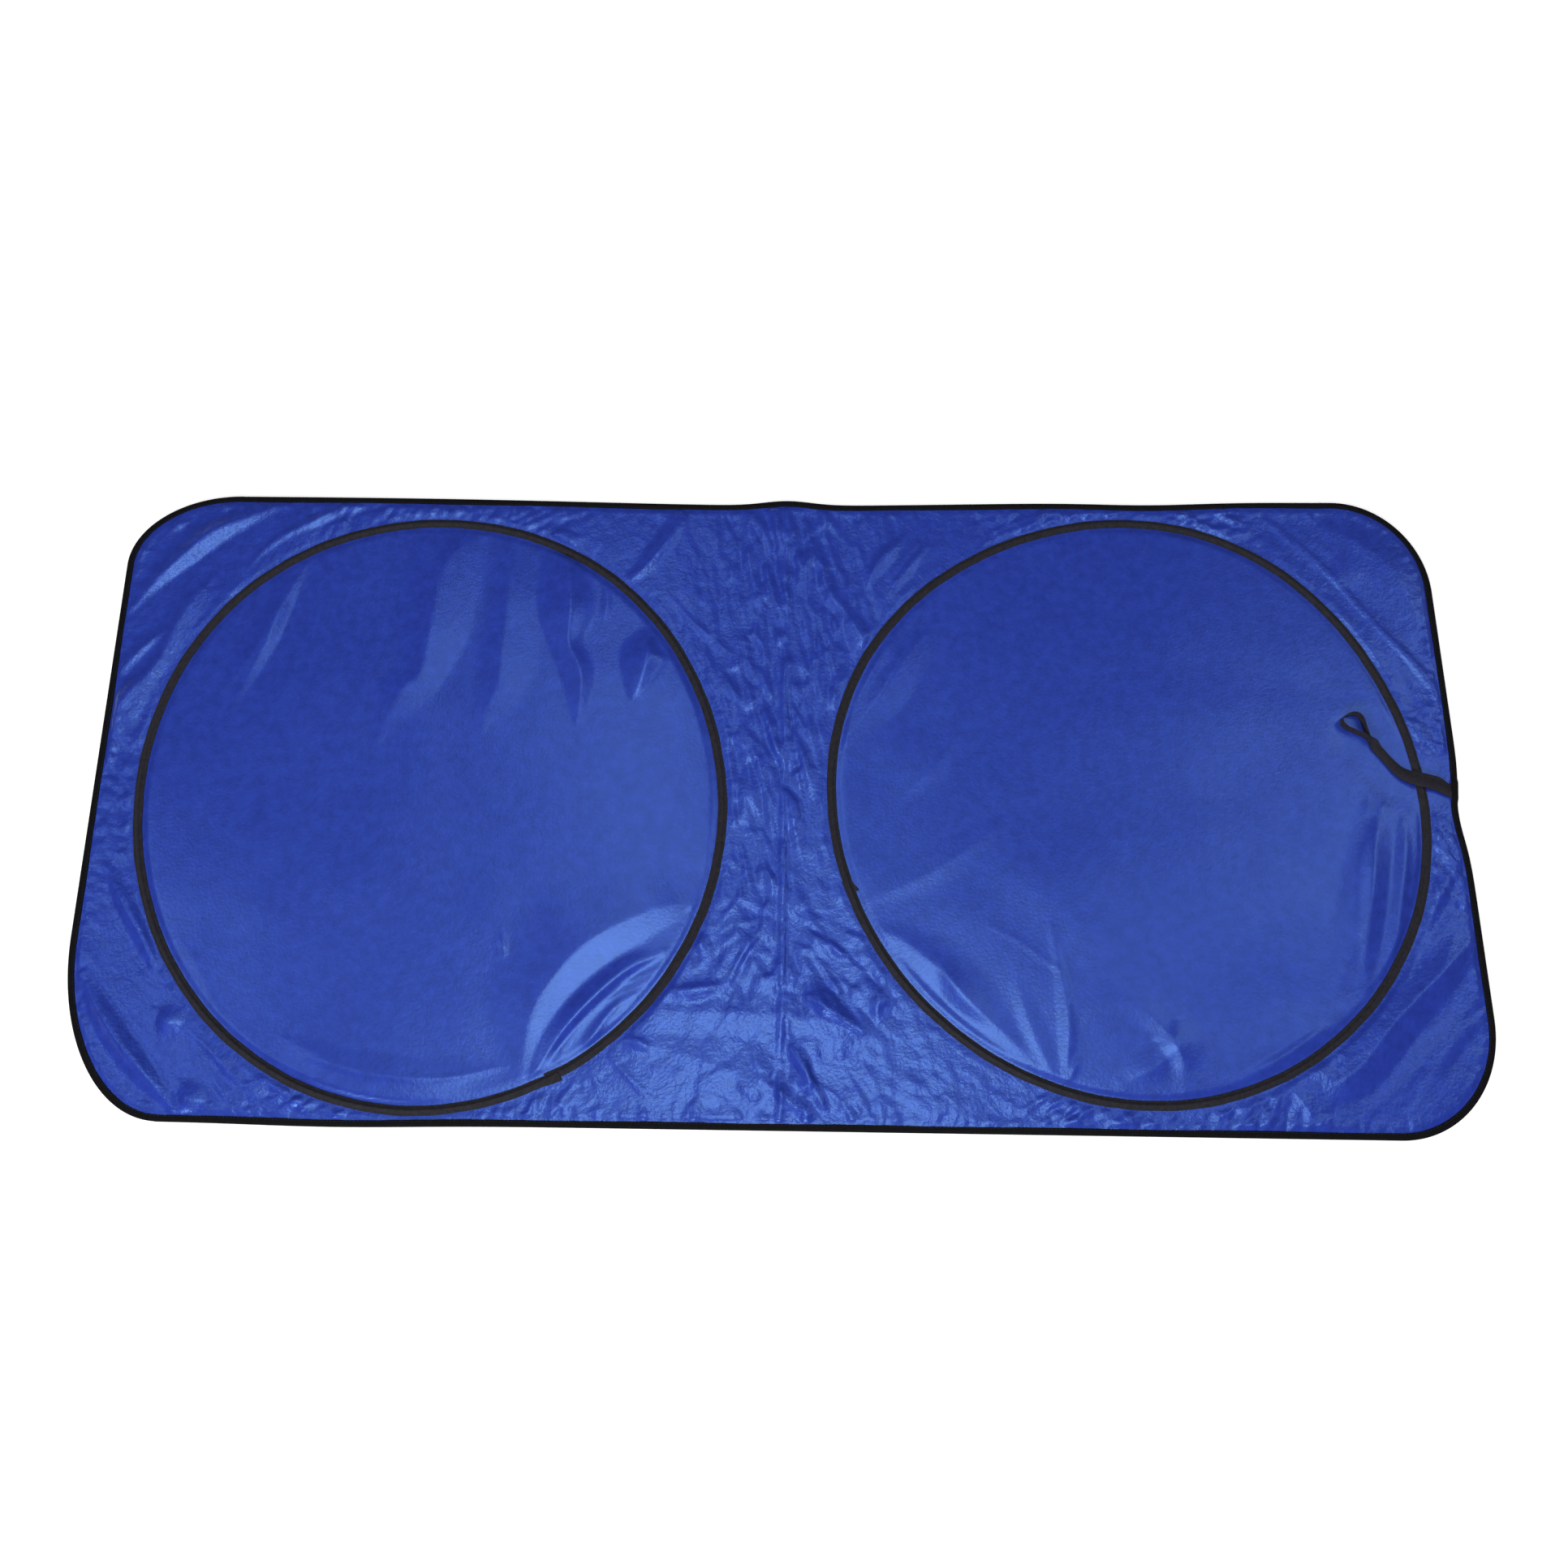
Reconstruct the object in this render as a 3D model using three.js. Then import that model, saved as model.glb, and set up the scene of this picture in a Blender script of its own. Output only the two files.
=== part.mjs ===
// Folding car sunshade, lying flat: a blue cloth sheet with a bound edge, held open by two
// spring-steel hoops that run in sewn tapes, with an elastic strap at its right-hand end.
// Millimetres, +Z up, +X along the length, +Y towards the upper edge of the sheet. The origin is on
// the ground, below the middle of the sheet.

import * as THREE from 'three';
import { mergeVertices } from 'three/addons/utils/BufferGeometryUtils.js';

// Cloth and the space left between neighbouring pieces
const clothThickness = 0.5;
const gap = 0.3;

// Steel hoops: one round wire each, its ends joined in a ferrule. A hoop under tension isn't a true
// circle, so each has lobes: how many, how far they bulge, and where, in degrees.
const wireDiameter = 1.6;
const hoopDiameter = 632.7;
const leftHoopLobes = [
  { count: 2, bulge: 9.6, angle: -69 },
  { count: 3, bulge: 1.2, angle: 21 },
  { count: 4, bulge: 0.6, angle: -35 },
  { count: 5, bulge: 0.5, angle: -12 },
];
const rightHoopLobes = [
  { count: 2, bulge: 4.3, angle: -81 },
  { count: 3, bulge: 2.4, angle: -59 },
  { count: 4, bulge: 1.5, angle: -21 },
  { count: 5, bulge: 0.7, angle: -4 },
];
const leftJoinAngle = -63;
const rightJoinAngle = 199;
const ferruleWall = 0.4;
const ferruleLength = 20;
const wireEndGap = 0.8;

// Tapes over the hoops and the binding round the edge
const tapeWidth = 9.8;
const tapeThickness = 0.5;
const tunnelFlare = 0.8;
const bindingWidth = 7;
const bindingThickness = 0.5;

// Strips of cloth left between the tapes and the binding, and between the two tapes
const leftEndStrip = 42;
const middleStrip = 104.8;
const rightEndStrip = 31.4;
const leftTopStrip = 25.7;
const leftBottomStrip = 5.9;
const rightBottomStrip = 19;
const creaseShift = 7;

// Shape of the edge: how far each corner lies inside the box, how far its bend reaches along the long
// side and along the end, and where a side pulls in or is pushed out, with the reach of each
const corners = {
  topLeft: { insetX: 0, insetY: 6.5, alongSide: 120, alongEnd: 86 },
  bottomLeft: { insetX: 10, insetY: 5, alongSide: 113, alongEnd: 183 },
  bottomRight: { insetX: 0, insetY: 0, alongSide: 108, alongEnd: 120 },
  topRight: { insetX: 5, insetY: 0, alongSide: 100, alongEnd: 110 },
};
const topSag = 7.5;
const topSagReach = 300;
const creaseRise = 5.8;
const creaseRiseReach = 38;
const topDip = 3.2;
const topDipX = 416;
const topDipReach = 78;
const bottomBulge = 2.7;
const bottomBulgeX = -434;
const bottomBulgeReach = 110;
const strapPull = 5.8;
const strapPullY = -15;
const strapPullReach = 38;

// Elastic strap: a flat band with both its ends sewn in at the right end, a little apart. Its two
// strands cross the right hoop together, turn on edge and open into an eye.
const strapWidth = 10.5;
const strapThickness = 1;
const strapSplay = 3;
const strapRootY = 9.8;
const strapCrossY = 21.3;

// Plan of the strap: from where it crosses the hoop, and of the eye from the neck
const approach = [[18, -4.5], [6, -1.5]];
const descent = [[-3, 0.5], [-12, 4], [-22.6, 8.1], [-30.6, 17.6], [-35.5, 23.5]];
const eyePath = [
  [-6, 12], [-12, 22], [-17.3, 32], [-19, 41], [-22, 47.5], [-28.5, 50], [-37, 47],
  [-42, 41], [-37.5, 33.5], [-27.5, 25], [-17.5, 16.5], [-8, 8],
];

// Folds of the slack cloth: a usual half-width and height, and how soon they fade at a seam
const foldWidth = 10;
const foldHeight = 4;
const foldFade = 14;
const strapPatch = 26;

// Steps of the curved pieces
const hoopSteps = 72;
const sideSteps = 22;
const endSteps = 18;
const cornerSteps = 9;
const creaseSteps = 28;
const outerRings = 4;
const innerRings = [0.88, 0.74, 0.6, 0.46, 0.3, 0.15];
const strapSteps = 18;
const eyeSteps = 30;

const turn = 2 * Math.PI;
const circleHandle = 0.5523;
const radians = THREE.MathUtils.degToRad;
const smoothstep = THREE.MathUtils.smoothstep;
const lerp = THREE.MathUtils.lerp;

// Hoop outlines in plan

function hoopRadius(hoop, angle) {
  const lobes = hoop.lobes.map((lobe) => lobe.bulge * Math.cos(lobe.count * (angle - radians(lobe.angle))));
  return hoopDiameter / 2 + lobes.reduce((sum, bulge) => sum + bulge, 0);
}

function hoopReach(hoop, directionX, directionY) {
  let reach = 0;
  for (let step = 0; step < 360; step++) {
    const angle = radians(step);
    const along = Math.cos(angle) * directionX + Math.sin(angle) * directionY;
    reach = Math.max(reach, hoopRadius(hoop, angle) * along);
  }
  return reach;
}

const leftHoop = { lobes: leftHoopLobes, joinAngle: radians(leftJoinAngle) };
const rightHoop = { lobes: rightHoopLobes, joinAngle: radians(rightJoinAngle) };
const hoops = [leftHoop, rightHoop];

// Size of the sheet, added up from its pieces, and the place of the hoops in it

const besideHoop = bindingWidth + tapeWidth / 2;
const sheetLength = 2 * besideHoop + leftEndStrip + middleStrip + rightEndStrip + tapeWidth
  + hoopReach(leftHoop, -1, 0) + hoopReach(leftHoop, 1, 0)
  + hoopReach(rightHoop, -1, 0) + hoopReach(rightHoop, 1, 0);
const sheetWidth = 2 * besideHoop + leftTopStrip + leftBottomStrip
  + hoopReach(leftHoop, 0, -1) + hoopReach(leftHoop, 0, 1);
const halfLength = sheetLength / 2;
const halfWidth = sheetWidth / 2;

leftHoop.x = -halfLength + besideHoop + leftEndStrip + hoopReach(leftHoop, -1, 0);
leftHoop.y = -halfWidth + besideHoop + leftBottomStrip + hoopReach(leftHoop, 0, -1);
rightHoop.x = halfLength - besideHoop - rightEndStrip - hoopReach(rightHoop, 1, 0);
rightHoop.y = -halfWidth + besideHoop + rightBottomStrip + hoopReach(rightHoop, 0, -1);
const middleX = (leftHoop.x + hoopReach(leftHoop, 1, 0) + rightHoop.x - hoopReach(rightHoop, -1, 0)) / 2;
const creaseX = middleX + creaseShift;

// Levels, from the ground up

const edgeLift = bindingThickness + gap;
const seatMargin = 0.5;
const tapeBase = clothThickness + gap;
const ferruleRadius = wireDiameter / 2 + gap + ferruleWall;
const wireLevel = tapeBase + ferruleRadius;
const tapeTop = wireLevel + wireDiameter / 2 + gap + tapeThickness;

// Edge of the sheet in plan: straight sides and round corners, then the places where it pulls in

function cornerPoint(corner, sideX, sideY) {
  return new THREE.Vector2(sideX * (halfLength - corner.insetX), sideY * (halfWidth - corner.insetY));
}

function towards(from, to, distance) {
  return from.clone().add(to.clone().sub(from).setLength(distance));
}

function roundCorner(before, corner, after, reachBefore, reachAfter) {
  return new THREE.CubicBezierCurve(
    towards(corner, before, reachBefore),
    towards(corner, before, reachBefore * (1 - circleHandle)),
    towards(corner, after, reachAfter * (1 - circleHandle)),
    towards(corner, after, reachAfter),
  );
}

function bell(distance, reach) {
  return Math.exp(-((distance / reach) ** 2));
}

function pullIn(point) {
  const onLongSide = Math.abs(point.x) < halfLength - corners.topLeft.alongSide;
  const onEnd = Math.abs(point.y) < halfWidth - corners.bottomRight.alongEnd;
  if (onLongSide && point.y > 0) {
    point.y -= topSag * bell(point.x - middleX, topSagReach);
    point.y += creaseRise * bell(point.x - creaseX, creaseRiseReach);
    point.y -= topDip * bell(point.x - topDipX, topDipReach);
  }
  if (onLongSide && point.y < 0) point.y -= bottomBulge * bell(point.x - bottomBulgeX, bottomBulgeReach);
  if (onEnd && point.x > rightHoop.x) point.x -= strapPull * bell(point.y - strapPullY, strapPullReach);
  return point;
}

function makeOutline() {
  const topLeft = cornerPoint(corners.topLeft, -1, 1);
  const bottomLeft = cornerPoint(corners.bottomLeft, -1, -1);
  const bottomRight = cornerPoint(corners.bottomRight, 1, -1);
  const topRight = cornerPoint(corners.topRight, 1, 1);
  const onSide = (a, b) => a.clone().lerp(b, (creaseX - a.x) / (b.x - a.x));
  const creaseTop = onSide(topLeft, topRight);
  const creaseBottom = onSide(bottomLeft, bottomRight);
  const points = [];

  function addSteps(curve, steps) {
    for (let step = 0; step < steps; step++) points.push(curve.getPoint(step / steps));
  }

  function addHalf(start, first, firstReach, second, secondReach, end) {
    const firstBend = roundCorner(start, first, second, firstReach.alongSide, firstReach.alongEnd);
    const secondBend = roundCorner(first, second, end, secondReach.alongEnd, secondReach.alongSide);
    addSteps(new THREE.LineCurve(start, firstBend.v0), sideSteps);
    addSteps(firstBend, cornerSteps);
    addSteps(new THREE.LineCurve(firstBend.v3, secondBend.v0), endSteps);
    addSteps(secondBend, cornerSteps);
    addSteps(new THREE.LineCurve(secondBend.v3, end), sideSteps);
  }

  addHalf(creaseTop, topLeft, corners.topLeft, bottomLeft, corners.bottomLeft, creaseBottom);
  addHalf(creaseBottom, bottomRight, corners.bottomRight, topRight, corners.topRight, creaseTop);
  return points.map(pullIn);
}

function outwardNormals(points) {
  return points.map((point, index) => {
    const before = points.at(index - 1);
    const after = points[(index + 1) % points.length];
    return new THREE.Vector2(after.y - before.y, before.x - after.x).normalize();
  });
}

const outline = makeOutline();
const outlineNormals = outwardNormals(outline);
const halfSteps = outline.length / 2;
const creaseTop = outline[0];
const creaseBottom = outline[halfSteps];

// Strap route in plan, from its root at the binding to the neck of its eye

function outlineXAt(y) {
  const near = outline.filter((point) => point.x > rightHoop.x && Math.abs(point.y - y) < strapWidth);
  return Math.min(...near.map((point) => point.x));
}

const crossAngle = Math.asin((strapCrossY - rightHoop.y) / (hoopDiameter / 2));
const crossX = rightHoop.x + hoopRadius(rightHoop, crossAngle) * Math.cos(crossAngle);
const strapRootX = outlineXAt(strapRootY) - bindingWidth - gap - seatMargin;
const strandPitch = strapThickness + gap;

// Levels of what the strap lies on, from its root over the tape to its neck
const approachLevels = [lerp(edgeLift, tapeTop, 0.5), tapeTop];
const descentLevels = [tapeTop, ...[0.4, 0.8, 1, 1].map((share) => lerp(tapeTop, clothThickness, share))];

function routePoints(plan, levels) {
  return plan.map(([x, y], index) => new THREE.Vector3(crossX + x, strapCrossY + y, levels[index]));
}

const strapRoute = new THREE.CatmullRomCurve3([
  new THREE.Vector3(strapRootX, strapRootY, clothThickness + edgeLift),
  ...routePoints(approach, approachLevels),
  ...routePoints(descent, descentLevels),
]);
const skewEnd = 0.2;
const splayStart = 0.3;
const splayEnd = 0.78;
const rollStart = 0.76;
const rollEnd = 0.97;

// Folds of the cloth: ridges through three points, in shares of the sheet's half-length and
// half-width, each with its width and height as shares of the usual fold

const ridges = [
  // Upper left corner, and round the left hoop
  { from: [-0.98, 0.57], via: [-0.885, 0.78], to: [-0.77, 0.945], width: 1, height: 1.3 },
  { from: [-0.81, 0.72], via: [-0.71, 0.88], to: [-0.64, 0.95], width: 0.9, height: 1 },
  { from: [-0.975, 0.1], via: [-0.94, 0.34], to: [-0.865, 0.67], width: 1.2, height: 1 },
  { from: [-0.96, -0.22], via: [-0.925, -0.36], to: [-0.885, -0.5], width: 0.8, height: 0.8 },
  // Lower left corner
  { from: [-0.965, -0.55], via: [-0.91, -0.76], to: [-0.835, -0.93], width: 1, height: 1.1 },
  { from: [-0.915, -0.63], via: [-0.86, -0.79], to: [-0.79, -0.93], width: 1, height: 1.2 },
  { from: [-0.82, -0.71], via: [-0.77, -0.8], to: [-0.71, -0.88], width: 0.9, height: 0.8 },
  // Upper right corner
  { from: [0.71, 0.94], via: [0.86, 0.66], to: [0.945, 0.2], width: 1.2, height: 1.5 },
  { from: [0.6, 0.93], via: [0.655, 0.9], to: [0.7, 0.84], width: 0.9, height: 0.9 },
  { from: [0.8, 0.93], via: [0.9, 0.77], to: [0.965, 0.53], width: 1.4, height: 1.3 },
  // Lower right corner
  { from: [0.975, -0.3], via: [0.915, -0.49], to: [0.89, -0.57], width: 1, height: 1 },
  { from: [0.975, -0.56], via: [0.92, -0.71], to: [0.85, -0.84], width: 1.1, height: 1.2 },
  { from: [0.885, -0.7], via: [0.83, -0.82], to: [0.77, -0.88], width: 1, height: 1.1 },
  // Between the hoops, above and beside the crease
  { from: [-0.16, 0.92], via: [-0.19, 0.82], to: [-0.22, 0.71], width: 1, height: 0.8 },
  { from: [-0.125, 0.57], via: [-0.085, 0.42], to: [-0.06, 0.27], width: 0.9, height: 0.7 },
  { from: [0.05, 0.83], via: [0.048, 0.4], to: [0.05, 0], width: 0.8, height: 0.5 },
  { from: [0.07, 0.79], via: [0.1, 0.62], to: [0.135, 0.52], width: 1, height: 0.8 },
  { from: [0.15, 0.55], via: [0.2, 0.7], to: [0.25, 0.84], width: 0.9, height: 0.7 },
  { from: [0.31, 0.84], via: [0.36, 0.88], to: [0.41, 0.92], width: 0.8, height: 0.7 },
  // Between the hoops, below
  { from: [-0.18, -0.71], via: [-0.02, -0.69], to: [0.15, -0.75], width: 1.2, height: 1.1 },
  { from: [-0.21, -0.79], via: [-0.08, -0.84], to: [0.055, -0.93], width: 1, height: 1 },
  { from: [-0.01, -0.41], via: [-0.03, -0.49], to: [-0.06, -0.57], width: 0.9, height: 0.7 },
  { from: [0.015, -0.4], via: [0.07, -0.57], to: [0.13, -0.64], width: 0.9, height: 0.9 },
  { from: [0.08, -0.84], via: [0.11, -0.9], to: [0.14, -0.95], width: 0.8, height: 0.7 },
  { from: [0.165, -0.58], via: [0.25, -0.74], to: [0.345, -0.86], width: 0.7, height: 0.7 },
  // Inside the left hoop
  { from: [-0.715, 0.77], via: [-0.75, 0.5], to: [-0.82, 0.17], width: 1, height: 0.6 },
  { from: [-0.445, 0.84], via: [-0.49, 0.5], to: [-0.58, 0.17], width: 1.3, height: 0.6 },
  { from: [-0.39, 0.8], via: [-0.385, 0.5], to: [-0.4, 0.17], width: 1.2, height: 0.6 },
  { from: [-0.12, -0.35], via: [-0.32, -0.42], to: [-0.335, -0.84], width: 1.5, height: 1 },
  { from: [-0.155, -0.55], via: [-0.25, -0.65], to: [-0.31, -0.83], width: 0.9, height: 0.5 },
  { from: [-0.67, -0.73], via: [-0.55, -0.85], to: [-0.4, -0.83], width: 1.1, height: 0.6 },
  { from: [-0.865, -0.42], via: [-0.83, -0.55], to: [-0.77, -0.68], width: 1, height: 0.5 },
  // Inside the right hoop
  { from: [0.15, -0.43], via: [0.235, -0.6], to: [0.34, -0.77], width: 1, height: 0.8 },
  { from: [0.11, 0.16], via: [0.18, 0.38], to: [0.26, 0.55], width: 1.2, height: 0.5 },
  { from: [0.14, -0.32], via: [0.22, -0.22], to: [0.315, -0.1], width: 1.2, height: 0.5 },
  { from: [0.42, -0.76], via: [0.48, -0.55], to: [0.54, -0.8], width: 1.3, height: 0.9 },
  { from: [0.39, -0.82], via: [0.37, -0.6], to: [0.385, -0.38], width: 1, height: 0.5 },
  { from: [0.62, -0.82], via: [0.69, -0.73], to: [0.77, -0.65], width: 1.5, height: 0.6 },
  { from: [0.885, -0.07], via: [0.855, -0.35], to: [0.8, -0.6], width: 1.3, height: 0.6 },
];
const creaseWidth = 0.6 * foldWidth;
const creaseHeight = 0.6 * foldHeight;
const ridgeSamples = 24;

function sheetPoint([shareX, shareY]) {
  return new THREE.Vector2(shareX * halfLength, shareY * halfWidth);
}

const ridgeLines = ridges.map((ridge) => {
  const [from, via, to] = [ridge.from, ridge.via, ridge.to].map(sheetPoint);
  const control = via.clone().multiplyScalar(2).addScaledVector(from, -0.5).addScaledVector(to, -0.5);
  const line = new THREE.QuadraticBezierCurve(from, control, to).getPoints(ridgeSamples);
  return { line, width: ridge.width * foldWidth, height: ridge.height * foldHeight };
});

function nearestOnLine(point, line, closed = false) {
  let nearest = { distance: Infinity, share: 0 };
  const count = closed ? line.length : line.length - 1;
  for (let index = 0; index < count; index++) {
    const start = line[index];
    const end = line[(index + 1) % line.length];
    const alongX = end.x - start.x;
    const alongY = end.y - start.y;
    const step = ((point.x - start.x) * alongX + (point.y - start.y) * alongY) / (alongX ** 2 + alongY ** 2);
    const held = THREE.MathUtils.clamp(step, 0, 1);
    const distance = Math.hypot(point.x - start.x - held * alongX, point.y - start.y - held * alongY);
    if (distance < nearest.distance) nearest = { distance, share: (index + held) / count };
  }
  return nearest;
}

function fromHoop(point, hoop) {
  const angle = Math.atan2(point.y - hoop.y, point.x - hoop.x);
  const distance = Math.hypot(point.x - hoop.x, point.y - hoop.y);
  return Math.abs(distance - hoopRadius(hoop, angle));
}

const hoopSeat = tapeWidth / 2 + seatMargin;
const edgeSeat = bindingWidth + seatMargin;
const strapLine = strapRoute.getPoints(strapSteps);

// Height of the cloth's underside: flat on the ground below the tapes, on the binding's lower leg
// at the edge, and raised into folds in between
function clothLevel(point) {
  const fromEdge = nearestOnLine(point, outline, true).distance;
  const clearOfHoop = Math.min(...hoops.map((hoop) => fromHoop(point, hoop))) - hoopSeat;
  const fromStrap = nearestOnLine(point, strapLine).distance;
  const fromCreaseEnd = Math.min(point.distanceTo(creaseTop), point.distanceTo(creaseBottom));
  const lift = edgeLift * (1 - smoothstep(fromEdge, edgeSeat, edgeSeat + foldFade))
    * smoothstep(clearOfHoop, 0, gap);
  const fade = smoothstep(fromEdge, edgeSeat, edgeSeat + foldFade)
    * smoothstep(clearOfHoop, 0, foldFade)
    * smoothstep(fromStrap, strapPatch, 2 * strapPatch)
    * smoothstep(fromCreaseEnd, 3 * edgeSeat, 6 * edgeSeat);
  const overCrease = creaseHeight * Math.exp(-(((point.x - creaseX) / creaseWidth) ** 2));
  const folds = ridgeLines.map(({ line, width, height }) => {
    const { distance, share } = nearestOnLine(point, line);
    return height * Math.exp(-((distance / width) ** 2)) * Math.sin(Math.PI * lerp(0.08, 0.92, share));
  });
  const highest = Math.hypot(overCrease, ...folds);
  return Math.max(lift, lift * (1 - fade) + highest * fade);
}

// Solids from rows of points

function solid(triangles) {
  const positions = new Float32Array(triangles.flat(2));
  const geometry = new THREE.BufferGeometry();
  geometry.setAttribute('position', new THREE.BufferAttribute(positions, 3));
  const merged = mergeVertices(geometry, 1e-4);
  merged.computeVertexNormals();
  return merged;
}

function quad(a, b, c, d) {
  return [[a, b, c], [a, c, d]];
}

// A section carried along stations. A station holds its point and its two axes, across and up, and a
// section is a counter-clockwise list of [across, up].
function sweep(stations, sectionAt, closed) {
  const rows = stations.map((station, index) => sectionAt(index).map(([across, up]) => station.point.clone()
    .addScaledVector(station.across, across)
    .addScaledVector(station.up, up)
    .toArray()));
  const triangles = [];
  const bays = closed ? rows.length : rows.length - 1;
  for (let bay = 0; bay < bays; bay++) {
    const row = rows[bay];
    const next = rows[(bay + 1) % rows.length];
    for (let corner = 0; corner < row.length; corner++) {
      const following = (corner + 1) % row.length;
      triangles.push(...quad(row[corner], next[corner], next[following], row[following]));
    }
  }
  if (!closed) {
    const flat = (index) => sectionAt(index).map(([across, up]) => new THREE.Vector2(across, up));
    for (const [a, b, c] of THREE.ShapeUtils.triangulateShape(flat(0), [])) {
      triangles.push([rows[0][a], rows[0][b], rows[0][c]]);
    }
    const last = rows.length - 1;
    for (const [a, b, c] of THREE.ShapeUtils.triangulateShape(flat(last), [])) {
      triangles.push([rows[last][a], rows[last][c], rows[last][b]]);
    }
  }
  return solid(triangles);
}

function mesh(name, geometry, material) {
  const piece = new THREE.Mesh(geometry, material);
  piece.name = name;
  return piece;
}

// Cloth sheet: two fans of points, one round each hoop, that share the points of the crease

function columnsOf(hoop, boundary) {
  return boundary.map(({ point, normal }) => {
    const centre = new THREE.Vector2(hoop.x, hoop.y);
    const spoke = point.clone().sub(centre);
    const radius = hoopRadius(hoop, spoke.angle());
    const along = spoke.clone().normalize();
    const onSpoke = (distance) => centre.clone().addScaledVector(along, distance);
    const inner = innerRings.map((share) => onSpoke(share * radius)).reverse();
    const band = [onSpoke(radius - hoopSeat), onSpoke(radius + hoopSeat)];
    const outermost = normal
      ? point.clone().addScaledVector(along, (-edgeSeat + edgeLift) / along.dot(normal))
      : band[1].clone().lerp(point, outerRings / (outerRings + 1));
    const outer = [];
    for (let ring = 1; ring <= outerRings; ring++) {
      outer.push(band[1].clone().lerp(outermost, ring / outerRings));
    }
    return [...inner, ...band, ...outer, point];
  });
}

function stitchRings(inside, outside) {
  const triangles = [];
  const halved = outside.length > inside.length;
  for (let index = 0; index < inside.length; index++) {
    const after = (index + 1) % inside.length;
    if (halved) {
      const [first, middle, last] = [2 * index, 2 * index + 1, (2 * index + 2) % outside.length];
      triangles.push([inside[index], outside[first], outside[middle]]);
      triangles.push([inside[index], outside[middle], inside[after]]);
      triangles.push([inside[after], outside[middle], outside[last]]);
    } else {
      triangles.push(...quad(inside[index], outside[index], outside[after], inside[after]));
    }
  }
  return triangles;
}

function fanTriangles(hoop, boundary) {
  const columns = columnsOf(hoop, boundary);
  const level = (point) => new THREE.Vector3(point.x, point.y, clothLevel(point));
  const strides = [4, 4, 2, 2, 1, 1];
  const rings = columns[0].map((_, ring) => columns
    .filter((__, column) => column % (strides[ring] ?? 1) === 0)
    .map((column) => level(column[ring])));
  const centre = level(new THREE.Vector2(hoop.x, hoop.y));
  const hub = rings[0].map((point, index) => [centre, point, rings[0][(index + 1) % rings[0].length]]);
  return [hub, ...rings.slice(1).map((ring, index) => stitchRings(rings[index], ring))].flat();
}

function clothSheet() {
  const edge = outline.map((point, index) => ({
    point: point.clone().addScaledVector(outlineNormals[index], -edgeLift),
    normal: outlineNormals[index],
  }));
  const crease = [];
  for (let step = 1; step < creaseSteps; step++) {
    const top = creaseTop.y - 2 * edgeSeat;
    const bottom = creaseBottom.y + 2 * edgeSeat;
    const y = lerp(bottom, top, (step - 1) / (creaseSteps - 2));
    crease.push({ point: new THREE.Vector2(creaseX, y) });
  }
  const leftEdge = edge.slice(0, halfSteps + 1);
  const rightEdge = [...edge.slice(halfSteps), edge[0]];
  const underside = [
    ...fanTriangles(leftHoop, [...leftEdge, ...crease]),
    ...fanTriangles(rightHoop, [...rightEdge, ...crease.toReversed()]),
  ];
  const low = (point) => point.toArray();
  const high = (point) => [point.x, point.y, point.z + clothThickness];
  const rim = edge.map(({ point }) => new THREE.Vector3(point.x, point.y, clothLevel(point)));
  const walls = rim.flatMap((point, index) => {
    const next = rim[(index + 1) % rim.length];
    return quad(low(point), low(next), high(next), high(point));
  });
  const top = underside.map(([a, b, c]) => [high(a), high(b), high(c)]);
  const bottom = underside.map(([a, b, c]) => [low(a), low(c), low(b)]);
  return solid([...top, ...bottom, ...walls]);
}

// Binding: a folded tape that holds the edge of the sheet between its two legs

function edgeBinding() {
  const up = new THREE.Vector3(0, 0, 1);
  const stations = outline.map((point, index) => ({
    point: new THREE.Vector3(point.x, point.y, 0),
    across: new THREE.Vector3(outlineNormals[index].x, outlineNormals[index].y, 0),
    up,
  }));
  const upperLeg = edgeLift + clothThickness + gap;
  const top = upperLeg + bindingThickness;
  const section = [
    [-bindingWidth, 0],
    [0, 0],
    [0, top],
    [-bindingWidth, top],
    [-bindingWidth, upperLeg],
    [-bindingThickness, upperLeg],
    [-bindingThickness, bindingThickness],
    [-bindingWidth, bindingThickness],
  ];
  return sweep(stations, () => section, true);
}

// Hoops: stations start just after the join, so the join is in the middle of the closing bay

function hoopStations(hoop, level) {
  const up = new THREE.Vector3(0, 0, 1);
  return Array.from({ length: hoopSteps }, (_, step) => {
    const angle = hoop.joinAngle + ((step + 0.5) / hoopSteps) * turn;
    const across = new THREE.Vector3(Math.cos(angle), Math.sin(angle), 0);
    const radius = hoopRadius(hoop, angle);
    const point = new THREE.Vector3(hoop.x, hoop.y, level).addScaledVector(across, radius);
    return { point, across, up };
  });
}

function joinOf(hoop) {
  const stations = hoopStations(hoop, wireLevel);
  const start = stations.at(-1).point;
  const end = stations[0].point;
  return {
    middle: start.clone().add(end).divideScalar(2),
    along: end.clone().sub(start).normalize(),
    across: new THREE.Vector3(Math.cos(hoop.joinAngle), Math.sin(hoop.joinAngle), 0),
  };
}

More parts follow.
